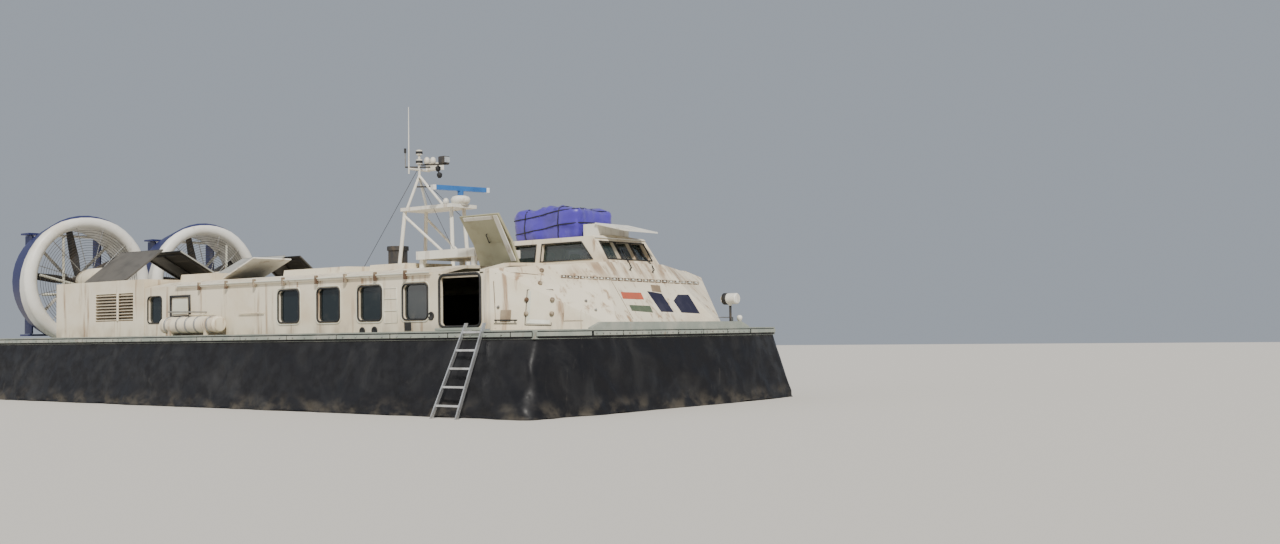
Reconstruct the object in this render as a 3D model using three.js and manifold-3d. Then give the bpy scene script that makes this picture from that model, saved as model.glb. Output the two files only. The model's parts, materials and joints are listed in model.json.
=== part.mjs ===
// Twin-duct diesel hovercraft, parked on its skids with the skirt deflated.
// Millimetres. +X is the bow, +Y is port, +Z is up, and the ground is Z = 0.
// The origin is the middle of the whole craft on the ground.
import * as THREE from 'three';
import { ConvexGeometry } from 'three/addons/geometries/ConvexGeometry.js';
import { mergeVertices } from 'three/addons/utils/BufferGeometryUtils.js';
import Module from 'manifold-3d';

const wasm = await Module();
wasm.setup();

// Driving dimensions
const FIT = 0.4; // gap between pieces that rest against each other
const SIDES = [{ side: 'starboard', s: -1 }, { side: 'port', s: 1 }];

const DECK_Z = 1580; // top of the deck
const DECK_EDGE_Z = 1410; // underside of the deck's overhang, where the skirt hangs
const DECK_HALF = 4040; // half the deck's width
const BOW_X = 10050; // middle stretch of the bow edge
const BOW_HALF = 2700; // half the length of that stretch
const BOW_CORNER_X = 9850;
const STERN_X = -10000;
const HULL_HALF = 3600; // raft below the deck
const HULL_BOTTOM_Z = 250;
const HULL_AFT_X = -9950;
const HULL_FORE_X = 9480;
const STERN_WELL_Z = 1250; // lowered deck that the ducts stand on
const STERN_WELL_X = -7350;
const STERN_WELL_HALF = 3540;
const SKID = { length: 15500, width: 420, tracks: [-2700, 0, 2700] };

const SKIRT_FOOT_HALF = 4450;
const SKIRT_FOOT_BOW_X = 10250;
const SKIRT_FOOT_STERN_X = -10250;

const WALL = 60; // thickness of the cabin's walls and roof
const SIDE_Y = 3550; // outer face of the cabin's side walls
const ROOF_EDGE_Z = 2740;
const ROOF_SHOULDER = { y: 2900, z: 2880 };
const ROOF_CROWN_Z = 2960;
const CABIN_AFT_X = -3200;
const CABIN_FORE_X = 8200;
const CABIN_FLOOR_Z = 800; // floor of the well that is sunk into the raft
const CABIN_WELL = { x0: -3000, x1: 8050, half: 3380 };

const WINDOW = { width: 700, z0: 1830, z1: 2510, corner: 90 };
const WINDOW_CENTRES = [2280, 3600, 4900, 6240];
const NARROW_WINDOW = { x: -2800, width: 560, z0: 1900, z1: 2510 };
const DOORWAY = { x0: 6950, x1: 8020, z0: 1680, corner: 110 };
const DOOR_LEAF = { thickness: 40, overlap: 50 };
const ROOF_HATCH = { x0: 6980, x1: 8020, frameY: 2420, edgeY: 3540, thickness: 50, open: 66, pinR: 12 };
const DOOR_RAIL = { x0: 5700, x1: 8120, z0: 2610, z1: 2640, depth: 75 };

const NOSE = {
  foot: { x: 8300, y: 3550 }, // aft lower corner
  brow: { x: 8220, y: 3490, z: 2750 }, // aft upper corner
  toe: { x: 9950, y: 1800 }, // lower end of the crease beside the sloped front
  head: { x: 8980, y: 980, z: 2930 }, // upper end of that crease, at the windscreen
};

const HOUSE = {
  aftX: 5600,
  baseX: 8960,
  topX: 8580,
  baseHalf: 960,
  topHalf: 860,
  eaveZ: 3480,
  crownZ: 3540,
};
const PANES = { z0: 3010, z1: 3360, gap: 55 };
const SIDE_PANES = [{ x0: 7240, x1: 8640, top1: 8290 }, { x0: 6420, x1: 7060, top1: 7060 }];

const DUCT = { y: 1880, z: 3130, foreX: -8540, aftX: -9750, lipR: 1830, throatR: 1470, aftR: 1600 };
const PROP = { x: -9180, r: 1430, hubR: 210, hubLength: 320, blades: 5 };
const POD = { aftX: -8990, foreX: -7480, r: 350 };
const RUDDER = {
  offsets: [-1000, 1000], foreX: -9800, pinX: -9880, aftX: -10200, z0: 1700, z1: 4420, thickness: 70, gap: 10,
};

const ENGINE_ROOM = { x0: -7300, x1: -3260, innerY: 60, topZ: 2960 };
const ENGINE_HATCH = { x0: -6500, x1: -4700, outerY: 3150, innerY: 200 };
const LOUVRE = { x0: -5410, x1: -3730, z0: 1960, z1: 2640, slats: 9 };
const ENGINE = { length: 1900, width: 1000, height: 1000, x: -5600, y: 1750 };

// Finishes
const finish = (color, roughness, metalness = 0) => ({ color, roughness, metalness });
const CREAM = finish(0xe6dcc4, 0.55);
const DECK_GREY = finish(0x8d968a, 0.75);
const RUBBER = finish(0x17181a, 0.8);
const GLASS = finish(0x1f2c30, 0.12);
const NAVY = finish(0x1b2350, 0.5);
const WHITE = finish(0xeae8e0, 0.45);
const STEEL = finish(0x777b7d, 0.45, 0.8);
const DARK = finish(0x2b2c2e, 0.6, 0.3);
const KHAKI = finish(0x9c9775, 0.7);
const ALUMINIUM = finish(0xb9bcbe, 0.4, 0.9);
const TARP = finish(0x4a38b8, 0.7);
const SEAT_GREEN = finish(0xa9c4a0, 0.8);
const RADAR_BLUE = finish(0x2a5fa5, 0.4);

// Solids and how they are joined
function solidOf(geometry) {
  const bare = geometry.clone();
  bare.deleteAttribute('normal');
  if (bare.getAttribute('uv')) bare.deleteAttribute('uv');
  const merged = mergeVertices(bare, 1e-3);
  return new wasm.Manifold(new wasm.Mesh({
    numProp: 3,
    vertProperties: new Float32Array(merged.getAttribute('position').array),
    triVerts: new Uint32Array(merged.index.array),
  }));
}

function geometryOf(solid) {
  const mesh = solid.getMesh();
  const geometry = new THREE.BufferGeometry();
  const stride = mesh.numProp;
  const count = mesh.vertProperties.length / stride;
  const positions = new Float32Array(count * 3);
  for (let i = 0; i < count; i += 1) {
    for (let k = 0; k < 3; k += 1) positions[3 * i + k] = mesh.vertProperties[stride * i + k];
  }
  geometry.setAttribute('position', new THREE.BufferAttribute(positions, 3));
  geometry.setIndex(new THREE.BufferAttribute(new Uint32Array(mesh.triVerts), 1));
  geometry.computeVertexNormals();
  return geometry;
}

const joined = (solids) => solids.reduce((whole, next) => whole.add(next));
const cut = (solid, cutters) => cutters.reduce((rest, cutter) => rest.subtract(cutter), solid);

// Box between two corners, given in any order
function block([xa, ya, za], [xb, yb, zb]) {
  const size = [Math.abs(xb - xa), Math.abs(yb - ya), Math.abs(zb - za)];
  const geometry = new THREE.BoxGeometry(...size);
  geometry.translate((xa + xb) / 2, (ya + yb) / 2, (za + zb) / 2);
  return solidOf(geometry);
}

const hullOf = (points) => solidOf(new ConvexGeometry(points.map((p) => new THREE.Vector3(...p))));

function extruded(outline, length) {
  const shape = Array.isArray(outline)
    ? new THREE.Shape(outline.map(([u, v]) => new THREE.Vector2(u, v)))
    : outline;
  return new THREE.ExtrudeGeometry(shape, { depth: length, bevelEnabled: false, curveSegments: 6 });
}

// Outline in Y and Z, drawn out along X
function alongX(outline, x0, x1) {
  const geometry = extruded(outline, x1 - x0);
  geometry.applyMatrix4(new THREE.Matrix4().makeBasis(
    new THREE.Vector3(0, 1, 0), new THREE.Vector3(0, 0, 1), new THREE.Vector3(1, 0, 0)));
  geometry.translate(x0, 0, 0);
  return solidOf(geometry);
}

// Outline in X and Z, drawn out along Y
function alongY(outline, y0, y1) {
  const geometry = extruded(outline, y1 - y0);
  geometry.applyMatrix4(new THREE.Matrix4().makeBasis(
    new THREE.Vector3(1, 0, 0), new THREE.Vector3(0, 0, 1), new THREE.Vector3(0, -1, 0)));
  geometry.translate(0, y1, 0);
  return solidOf(geometry);
}

// Outline in X and Y, drawn out along Z
function alongZ(outline, z0, z1) {
  const geometry = extruded(outline, z1 - z0);
  geometry.translate(0, 0, z0);
  return solidOf(geometry);
}

// Rectangle with round corners as a Shape
function roundRect(u0, v0, u1, v1, r) {
  const shape = new THREE.Shape();
  shape.moveTo(u0 + r, v0);
  shape.lineTo(u1 - r, v0);
  shape.absarc(u1 - r, v0 + r, r, -Math.PI / 2, 0, false);
  shape.lineTo(u1, v1 - r);
  shape.absarc(u1 - r, v1 - r, r, 0, Math.PI / 2, false);
  shape.lineTo(u0 + r, v1);
  shape.absarc(u0 + r, v1 - r, r, Math.PI / 2, Math.PI, false);
  shape.lineTo(u0, v0 + r);
  shape.absarc(u0 + r, v0 + r, r, Math.PI, 1.5 * Math.PI, false);
  return shape;
}

// Round bar between two points, straight or tapered
function bar(a, b, r, rb = r, sides = 8) {
  const start = new THREE.Vector3(...a);
  const end = new THREE.Vector3(...b);
  const geometry = new THREE.CylinderGeometry(rb, r, start.distanceTo(end), sides);
  const turn = new THREE.Quaternion().setFromUnitVectors(
    new THREE.Vector3(0, 1, 0), end.clone().sub(start).normalize());
  geometry.applyQuaternion(turn);
  const middle = start.add(end).multiplyScalar(0.5);
  geometry.translate(middle.x, middle.y, middle.z);
  return solidOf(geometry);
}

// Profile of [x, r] turned about a line along X through y, z
function turnedX(profile, y, z, segments) {
  const geometry = new THREE.LatheGeometry(profile.map(([x, r]) => new THREE.Vector2(r, x)), segments);
  geometry.applyMatrix4(new THREE.Matrix4().makeBasis(
    new THREE.Vector3(0, 1, 0), new THREE.Vector3(1, 0, 0), new THREE.Vector3(0, 0, -1)));
  geometry.translate(0, y, z);
  return solidOf(geometry);
}

const craft = new THREE.Group();

function place(name, solid, look, parent = craft) {
  const material = new THREE.MeshStandardMaterial(look);
  const mesh = new THREE.Mesh(geometryOf(solid), material);
  mesh.name = name;
  parent.add(mesh);
  return mesh;
}

// Group whose own origin is a hinge line, turned by an angle about X
function hingedX(y, z, degrees) {
  const group = new THREE.Group();
  group.position.set(0, y, z);
  group.rotation.x = THREE.MathUtils.degToRad(degrees);
  craft.add(group);
  return group;
}

// Raft in its welded sections: bottom with skids, bow, sides, and the engine deck with the lowered stern
const skids = SKID.tracks.map((y) => block(
  [-SKID.length / 2, y - SKID.width / 2, 0], [SKID.length / 2, y + SKID.width / 2, HULL_BOTTOM_Z + 20]));
const RAFT_LOW_Z = CABIN_FLOOR_Z + FIT; // underside of the sections that stand on the bottom
place('raft_bottom', joined([block(
  [HULL_AFT_X, -HULL_HALF, HULL_BOTTOM_Z], [HULL_FORE_X, HULL_HALF, CABIN_FLOOR_Z]), ...skids]), DECK_GREY);

const bowDeck = alongZ([
  [CABIN_WELL.x1, -DECK_HALF], [BOW_CORNER_X, -DECK_HALF], [BOW_X, -BOW_HALF],
  [BOW_X, BOW_HALF], [BOW_CORNER_X, DECK_HALF], [CABIN_WELL.x1, DECK_HALF],
], DECK_EDGE_Z, DECK_Z);
// Raised strip along the middle of the bow edge, lower at its ends
const BOW_STRIP = { height: 130, depth: 90, taper: 320 };
const bowStrip = hullOf([-1, 1].flatMap((s) => [0, 1].flatMap((back) => {
  const x = BOW_X - 10 - back * BOW_STRIP.depth;
  return [
    [x, s * (BOW_HALF - 20), DECK_Z - 20], [x, s * (BOW_HALF - 20), DECK_Z + 25],
    [x, s * (BOW_HALF - BOW_STRIP.taper), DECK_Z + BOW_STRIP.height],
  ];
})));
const bowBox = block([CABIN_WELL.x1, -HULL_HALF, RAFT_LOW_Z], [HULL_FORE_X, HULL_HALF, DECK_Z]);
place('raft_bow', joined([bowDeck, bowBox, bowStrip]), DECK_GREY);

const raftSide = (s) => {
  const foreX = CABIN_WELL.x1 - FIT;
  const deck = block([STERN_X, s * STERN_WELL_HALF, DECK_EDGE_Z], [foreX, s * DECK_HALF, DECK_Z]);
  const inboardDeck = block([STERN_WELL_X, s * CABIN_WELL.half, DECK_EDGE_Z], [foreX, s * HULL_HALF, DECK_Z]);
  const web = block([STERN_WELL_X, s * CABIN_WELL.half, RAFT_LOW_Z], [foreX, s * HULL_HALF, DECK_EDGE_Z + 10]);
  const sternWeb = block(
    [HULL_AFT_X, s * STERN_WELL_HALF, RAFT_LOW_Z], [STERN_WELL_X + 10, s * HULL_HALF, DECK_EDGE_Z + 10]);
  const sternFloor = block(
    [HULL_AFT_X, s * CABIN_WELL.half, RAFT_LOW_Z], [STERN_WELL_X + 10, s * HULL_HALF, STERN_WELL_Z]);
  return joined([deck, inboardDeck, web, sternWeb, sternFloor]);
};
for (const { side, s } of SIDES) place(`raft_side_${side}`, raftSide(s), DECK_GREY);

const engineDeckHalf = CABIN_WELL.half - FIT;
place('raft_stern', joined([
  block([STERN_WELL_X, -engineDeckHalf, RAFT_LOW_Z], [CABIN_WELL.x0, engineDeckHalf, DECK_Z]),
  block([HULL_AFT_X, -engineDeckHalf, RAFT_LOW_Z], [STERN_WELL_X + 10, engineDeckHalf, STERN_WELL_Z]),
]), DECK_GREY);

// Skirt: two long sides, and a bow and a stern piece that wrap the corners
const SKIRT_TOP_Z = DECK_EDGE_Z - FIT;
const SKIRT_BOW_X0 = HULL_FORE_X + FIT;
const SKIRT_STERN_X1 = HULL_AFT_X - FIT;
for (const { side, s } of SIDES) {
  const section = [
    [HULL_HALF + FIT, 0], [SKIRT_FOOT_HALF, 0], [SKIRT_FOOT_HALF, 110], [4300, 480], [4170, 1000],
    [DECK_HALF - 20, SKIRT_TOP_Z], [HULL_HALF + FIT, SKIRT_TOP_Z],
  ].map(([y, z]) => [s * y, z]);
  const outline = s > 0 ? section : section.reverse();
  place(`skirt_${side}`, alongX(outline, SKIRT_STERN_X1 + FIT, SKIRT_BOW_X0 - FIT), RUBBER);
}
const skirtEnd = (innerX, topX, topCornerX, footX, footCornerX) => hullOf([-1, 1].flatMap((s) => [
  [innerX, s * (DECK_HALF - 20), SKIRT_TOP_Z], [topCornerX, s * (DECK_HALF - 20), SKIRT_TOP_Z],
  [topX, s * BOW_HALF, SKIRT_TOP_Z], [footX, s * (BOW_HALF + 50), 110], [footX, s * (BOW_HALF + 50), 0],
  [footCornerX, s * SKIRT_FOOT_HALF, 110], [footCornerX, s * SKIRT_FOOT_HALF, 0],
  [innerX, s * SKIRT_FOOT_HALF, 110], [innerX, s * SKIRT_FOOT_HALF, 0],
]));
place('skirt_bow', skirtEnd(SKIRT_BOW_X0, BOW_X - 20, BOW_CORNER_X - 20, SKIRT_FOOT_BOW_X, 10050), RUBBER);
place('skirt_stern', skirtEnd(
  SKIRT_STERN_X1, STERN_X + 15, STERN_X + 35, SKIRT_FOOT_STERN_X, SKIRT_FOOT_STERN_X + 120), RUBBER);

// Cabin side walls with windows and a doorway each
for (const { side, s } of SIDES) {
  const y0 = s > 0 ? SIDE_Y - WALL : -SIDE_Y;
  const wallTop = ROOF_EDGE_Z - WALL - FIT;
  const wall = block([CABIN_AFT_X, y0, DECK_Z + FIT], [CABIN_FORE_X - FIT, y0 + WALL, wallTop]);
  const windows = WINDOW_CENTRES.map((x) => alongY(
    roundRect(x - WINDOW.width / 2, WINDOW.z0, x + WINDOW.width / 2, WINDOW.z1, WINDOW.corner),
    y0 - 10, y0 + WALL + 10));
  const narrow = alongY(roundRect(
    NARROW_WINDOW.x - NARROW_WINDOW.width / 2, NARROW_WINDOW.z0,
    NARROW_WINDOW.x + NARROW_WINDOW.width / 2, NARROW_WINDOW.z1, WINDOW.corner), y0 - 10, y0 + WALL + 10);
  const doorway = alongY(roundRect(
    DOORWAY.x0, DOORWAY.z0, DOORWAY.x1, ROOF_EDGE_Z + 200, DOORWAY.corner), y0 - 10, y0 + WALL + 10);
  const railY = s * (SIDE_Y - WALL + 5);
  const rail = block(
    [DOOR_RAIL.x0, railY, DOOR_RAIL.z0], [DOOR_RAIL.x1, railY - s * (DOOR_RAIL.depth + 5), DOOR_RAIL.z1]);
  place(`cabin_side_${side}`, cut(wall, [...windows, narrow, doorway]).add(rail), CREAM);

  // Window glass in one strip behind the wall, short of the doorway
  const glassY = s * (SIDE_Y - WALL - FIT);
  const glass = block(
    [NARROW_WINDOW.x - 330, glassY, WINDOW.z0 - 60], [6660, glassY - s * 12, WINDOW.z1 + 60]);
  place(`cabin_glazing_${side}`, glass, GLASS);
}

// Height of the crowned roof at a distance y from the centreline
const roofLevel = (y) => ROOF_SHOULDER.z
  + (1 - Math.abs(y) / ROOF_SHOULDER.y) * (ROOF_CROWN_Z - ROOF_SHOULDER.z);

// Everything up to the roof's top, which trims what stands on it
const roofTop = (lift) => [
  [-SIDE_Y, ROOF_EDGE_Z + lift], [-ROOF_SHOULDER.y, ROOF_SHOULDER.z + lift], [0, ROOF_CROWN_Z + lift],
  [ROOF_SHOULDER.y, ROOF_SHOULDER.z + lift], [SIDE_Y, ROOF_EDGE_Z + lift],
];
const roofSpace = alongX(
  [[-SIDE_Y, 2400], [SIDE_Y, 2400], ...roofTop(FIT).reverse()], CABIN_AFT_X - 10, CABIN_FORE_X);

// Roof: crowned plate with a gutter rail, open over the doorways, the wheelhouse and the aft hatch
const HOUSE_OPENING = { x0: 6000, x1: CABIN_FORE_X + 10, half: 800 };
const AFT_HATCH = { x0: -1500, x1: -300, y0: -2500, y1: -1500 };
// Low boxes fixed on the roof
const LOCKERS = [
  { x0: 1110, x1: 3240, y0: -2800, y1: -1900, height: 130 },
  { x0: 4020, x1: 5120, y0: -2800, y1: -1400, height: 110 },
  { x0: -2900, x1: -1650, y0: -2800, y1: -1550, height: 170 },
];
function cabinRoof() {
  const plate = alongX([...roofTop(-WALL), ...roofTop(0).reverse()], CABIN_AFT_X, CABIN_FORE_X - FIT);
  const hatches = SIDES.map(({ s }) => block(
    [ROOF_HATCH.x0 - 10, s * ROOF_HATCH.frameY, 2500], [ROOF_HATCH.x1 + 10, s * (SIDE_Y + 10), 3100]));
  const houseOpening = block(
    [HOUSE_OPENING.x0, -HOUSE_OPENING.half, 2500], [HOUSE_OPENING.x1, HOUSE_OPENING.half, 3100]);
  const aftHatch = block([AFT_HATCH.x0, AFT_HATCH.y0, 2500], [AFT_HATCH.x1, AFT_HATCH.y1, 3100]);
  const gutters = SIDES.map(({ s }) => block(
    [CABIN_AFT_X + 1300, s * (SIDE_Y - 20), ROOF_EDGE_Z - 50], [6700, s * (SIDE_Y + 45), ROOF_EDGE_Z - 5]));
  const lockers = LOCKERS.map(({ x0, x1, y0, y1, height }) => {
    const top = roofLevel(y1) + height;
    return alongX([
      [y0, roofLevel(y0) - 20], [y1, roofLevel(y0) - 20], [y1 - 30, top], [y0 + 30, top - 20],
    ], x0, x1);
  });
  return joined([cut(plate, [...hatches, houseOpening, aftHatch]), ...gutters, ...lockers]);
}
place('cabin_roof', cabinRoof(), CREAM);

// Bulkhead between the cabin and the engine room
const insideTop = [
  [-SIDE_Y + WALL + FIT, ROOF_EDGE_Z - WALL - 2], [-ROOF_SHOULDER.y, ROOF_SHOULDER.z - WALL - 2],
  [0, ROOF_CROWN_Z - WALL - 2], [ROOF_SHOULDER.y, ROOF_SHOULDER.z - WALL - 2],
  [SIDE_Y - WALL - FIT, ROOF_EDGE_Z - WALL - 2],
];
place('aft_bulkhead', alongX([
  [-SIDE_Y + WALL + FIT, DECK_Z + FIT], [SIDE_Y - WALL - FIT, DECK_Z + FIT], ...insideTop.slice().reverse(),
], CABIN_AFT_X, CABIN_AFT_X + WALL), CREAM);

// Nose: faceted shell from the doorways to the bow edge, open to the cabin behind
function noseBody(inset) {
  const aftX = CABIN_FORE_X - (inset > 0 ? 50 : 0);
  const baseZ = DECK_Z + FIT - (inset > 0 ? 50 : 0);
  return hullOf([-1, 1].flatMap((s) => [
    [aftX, s * (SIDE_Y - inset), baseZ],
    [aftX, s * (NOSE.brow.y - inset), NOSE.brow.z - inset],
    [NOSE.foot.x, s * (SIDE_Y - inset), baseZ],
    [NOSE.brow.x, s * (NOSE.brow.y - inset), NOSE.brow.z - inset],
    [NOSE.toe.x - 2 * inset, s * (NOSE.toe.y - inset), baseZ],
    [NOSE.head.x - inset, s * (NOSE.head.y - inset), NOSE.head.z - inset],
    [aftX, s * (NOSE.head.y - inset), NOSE.head.z - inset + 10],
  ]));
}
function noseShell() {
  const opening = block(
    [CABIN_FORE_X - 10, -HOUSE_OPENING.half, 2700], [HOUSE.topX, HOUSE_OPENING.half, 3100]);
  return cut(noseBody(0), [noseBody(WALL), opening]);
}
place('nose_shell', noseShell(), CREAM);

// Wheelhouse: walls that lean in, a raked windscreen of three panes and side panes
function houseBody(inset, drop) {
  return hullOf([-1, 1].flatMap((s) => [
    [HOUSE.aftX + inset, s * (HOUSE.baseHalf - inset), NOSE.head.z - 60 - drop],
    [HOUSE.baseX - inset, s * (HOUSE.baseHalf - inset), NOSE.head.z - 60 - drop],
    [HOUSE.aftX + inset, s * (HOUSE.topHalf - inset), HOUSE.eaveZ - inset],
    [HOUSE.topX - inset, s * (HOUSE.topHalf - inset), HOUSE.eaveZ - inset],
  ]).concat([[HOUSE.aftX + inset, 0, HOUSE.crownZ - inset], [HOUSE.topX - 120 - inset, 0, HOUSE.crownZ - inset]]));
}
const PANE_HALF = 760;
function wheelhouseShell() {
  const base = HOUSE.crownZ - 10;
  const screenPanes = [-1, 0, 1].map((k) => {
    const middle = (k * (2 * PANE_HALF)) / 3;
    const half = PANE_HALF / 3 - PANES.gap / 2;
    return block([8500, middle - half, PANES.z0], [9100, middle + half, PANES.z1]);
  });
  const sidePanes = SIDE_PANES.map(({ x0, x1, top1 }) => alongY(
    [[x0, PANES.z0], [x1, PANES.z0], [top1, PANES.z1], [x0, PANES.z1]], -1100, 1100));
  const shell = cut(houseBody(0, 0), [houseBody(WALL, 60), roofSpace, noseBody(-FIT)]);
  const middleOfSides = block([HOUSE.aftX + WALL, -780, 2900], [8560, 780, base]);
  return cut(shell, [...screenPanes, ...sidePanes.map((pane) => pane.subtract(middleOfSides))]);
}
place('wheelhouse_shell', wheelhouseShell(), CREAM);

// Boards that fit against the inside of the wheelhouse's walls as its glass
const insideHouse = houseBody(WALL + FIT, 60);
const insideGlass = houseBody(WALL + FIT + 12, 60);
const glassSkin = insideHouse.subtract(insideGlass);
place('windscreen_glazing', glassSkin.intersect(block([8560, -720, 2975], [9000, 720, 3400])), GLASS);
for (const { side, s } of SIDES) {
  const reach = block([6380, s * 770, 2975], [8530, s * 1000, 3400]);
  place(`wheelhouse_glazing_${side}`, glassSkin.intersect(reach), GLASS);
}

// Pilots' seats on pedestals that stand on the cabin floor
for (const { side, s } of SIDES) {
  const y = s * 430;
  const x = 7300;
  const pedestal = block([x - 130, y - 130, CABIN_FLOOR_Z + FIT], [x + 130, y + 130, 2200]);
  const cushion = block([x - 260, y - 250, 2180], [x + 270, y + 250, 2340]);
  const back = hullOf([-250, 250].flatMap((w) => [
    [x - 250, y + w, 2300], [x - 130, y + w, 2300], [x - 330, y + w * 0.9, 3000], [x - 230, y + w * 0.9, 3000],
  ]));
  const headrest = block([x - 350, y - 150, 2980], [x - 240, y + 150, 3230]);
  place(`pilot_seat_${side}`, joined([pedestal, cushion, back, headrest]), SEAT_GREEN);
}

// Engine rooms with a louvred side, open under their hatch covers
for (const { side, s } of SIDES) {
  const outerY = s * SIDE_Y;
  const innerY = s * ENGINE_ROOM.innerY;
  const walls = block([ENGINE_ROOM.x0, innerY, DECK_Z + FIT], [ENGINE_ROOM.x1, outerY, ENGINE_ROOM.topZ]);
  const hollow = block(
    [ENGINE_ROOM.x0 + WALL, innerY + s * WALL, DECK_Z - 10],
    [ENGINE_ROOM.x1 - WALL, outerY - s * WALL, ENGINE_ROOM.topZ - WALL]);
  const hatch = block(
    [ENGINE_HATCH.x0, s * ENGINE_HATCH.innerY, 2500], [ENGINE_HATCH.x1, s * ENGINE_HATCH.outerY, 3100]);
  const grille = block([LOUVRE.x0, outerY - s * (WALL + 10), LOUVRE.z0], [LOUVRE.x1, outerY + s * 10, LOUVRE.z1]);
  const pitch = (LOUVRE.z1 - LOUVRE.z0) / LOUVRE.slats;
  const slats = Array.from({ length: LOUVRE.slats }, (_, i) => {
    const z = LOUVRE.z0 + (i + 0.5) * pitch;
    return hullOf([LOUVRE.x0 - 10, LOUVRE.x1 + 10].flatMap((x) => [
      [x, outerY - s * 2, z - 26], [x, outerY - s * 2, z - 14],
      [x, outerY - s * (WALL - 4), z + 14], [x, outerY - s * (WALL - 4), z + 26],
    ]));
  });
  place(`engine_room_${side}`, joined([cut(walls, [hollow, hatch, grille]), ...slats]), CREAM);
  place(`engine_block_${side}`, block(
    [ENGINE.x - ENGINE.length / 2, s * ENGINE.y - ENGINE.width / 2, DECK_Z + FIT],
    [ENGINE.x + ENGINE.length / 2, s * ENGINE.y + ENGINE.width / 2, DECK_Z + ENGINE.height]), DARK);
}

// Hatch covers over the engines, two a side, standing open against each other like a gable
const COVER_PIN_R = 30;
const COVER_Z = ENGINE_ROOM.topZ + COVER_PIN_R + FIT;
for (const { side, s } of SIDES) {
  const covers = [
    { name: 'outer', y: ENGINE_HATCH.outerY + 40, length: 1300, way: -1, open: 38 },
    { name: 'inner', y: ENGINE_HATCH.innerY - 40, length: 1680, way: 1, open: 28 },
  ];
  for (const { name, y, length, way, open } of covers) {
    const hinge = hingedX(s * y, COVER_Z, s * way * open);
    const reach = s * way * length;
    const plate = block([ENGINE_HATCH.x0 - 60, 0, -20], [ENGINE_HATCH.x1 + 60, reach, 20]);
    const pin = bar([ENGINE_HATCH.x0, 0, 0], [ENGINE_HATCH.x1, 0, 0], COVER_PIN_R, COVER_PIN_R, 12);
    place(`engine_cover_${name}_${side}`, plate.add(pin), STEEL, hinge);
  }
}

// Ducts with a round lip, stator arms, a foot, and the bars that hold the rudders
function duct(y) {
  const { z, foreX, aftX, lipR, throatR, aftR } = DUCT;
  const rollR = (lipR - throatR) / 2;
  const profile = [[aftX, throatR]];
  const rollX = foreX - rollR;
  profile.push([rollX, throatR]);
  const steps = 6;
  for (let i = 1; i < steps; i += 1) {
    const a = Math.PI * (i / steps);
    profile.push([rollX + rollR * Math.sin(a), throatR + rollR * (1 - Math.cos(a))]);
  }
  profile.push([rollX, lipR], [aftX, aftR], [aftX, throatR]);
  const ring = turnedX(profile.reverse(), y, z, 40);
  const foot = block([aftX + 100, y - 620, STERN_WELL_Z + FIT], [rollX - 100, y + 620, z - lipR + 220]);
  const bore = turnedX([[aftX - 10, 0], [aftX - 10, throatR], [foreX + 10, throatR], [foreX + 10, 0]], y, z, 40);
  const arms = [45, 135, 225, 315].map((degrees) => {
    const a = THREE.MathUtils.degToRad(degrees);
    const reach = throatR + 30;
    return bar([-9560, y, z], [-9560, y + reach * Math.cos(a), z + reach * Math.sin(a)], 45, 45, 6);
  });
  const hub = turnedX([[-9660, 0], [-9660, 150], [-9440, 150], [-9440, 0]], y, z, 16);
  const bars = [RUDDER.z0 - RUDDER.gap - 50, RUDDER.z1 + RUDDER.gap].map((zBar) => block(
    [-10120, y - 1180, zBar], [aftX + 60, y + 1180, zBar + 50]));
  const clearOfBore = bars.map((solid) => solid.subtract(bore));
  return joined([cut(joined([ring, foot]), [bore]), ...arms, hub, ...clearOfBore]);
}

function propeller(y) {
  const hub = turnedX([
    [PROP.x - PROP.hubLength / 2, 0], [PROP.x - PROP.hubLength / 2, PROP.hubR * 0.7], [PROP.x, PROP.hubR],
    [PROP.x + PROP.hubLength / 2 - 20, PROP.hubR * 0.9], [PROP.x + PROP.hubLength / 2 - 20, 0],
  ], y, DUCT.z, 16);
  const blade = hullOf([
    { r: 130, chord: 150, thick: 60, twist: 55 }, { r: 700, chord: 240, thick: 34, twist: 32 },
    { r: PROP.r, chord: 170, thick: 14, twist: 20 },
  ].flatMap(({ r, chord, thick, twist }) => {
    const a = THREE.MathUtils.degToRad(twist);
    return [[-1, -1], [-1, 1], [1, -1], [1, 1]].map(([i, j]) => {
      const u = (i * chord) / 2;
      const v = (j * thick) / 2;
      return [u * Math.sin(a) + v * Math.cos(a), u * Math.cos(a) - v * Math.sin(a), r];
    });
  }));
  const blades = Array.from({ length: PROP.blades }, (_, i) => blade
    .rotate([(360 / PROP.blades) * i + 12, 0, 0]).translate([PROP.x, y, DUCT.z]));
  const shaft = bar([PROP.x, y, DUCT.z], [POD.aftX - FIT, y, DUCT.z], 120, 120, 16);
  return joined([hub, shaft, ...blades]);
}

// Gear pod on its pylon, with a rounded cowl on the deck ahead of the duct
function gearPod(y) {
  const { aftX, foreX, r } = POD;
  const profile = [
    [aftX, 0], [aftX, r * 0.55], [aftX + 150, r * 0.85], [aftX + 500, r], [foreX - 350, r],
    [foreX - 120, r * 0.8], [foreX, r * 0.35], [foreX, 0],
  ];
  const pod = turnedX(profile, y, DUCT.z, 20);
  const pylon = hullOf([[-8380, 90], [-8200, 150], [-7700, 150], [-7460, 60]].flatMap(([x, half]) => [
    [x, y - half, DUCT.z - 100], [x, y + half, DUCT.z - 100],
    [x, y - half * 1.6, STERN_WELL_Z + 200], [x, y + half * 1.6, STERN_WELL_Z + 200],
  ]));
  // Cowl sections as x, half width and top
  const cowl = hullOf([[-8300, 420, 1800], [-8100, 560, 2150], [-7650, 560, 2300], [-7420, 440, 2100]]
    .flatMap(([x, half, top]) => [-1, 1].flatMap((k) => [
      [x, y + k * half, STERN_WELL_Z + FIT], [x, y + k * half, top - 300], [x, y + k * half * 0.55, top],
    ])));
  return joined([pod, pylon, cowl]);
}

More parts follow.
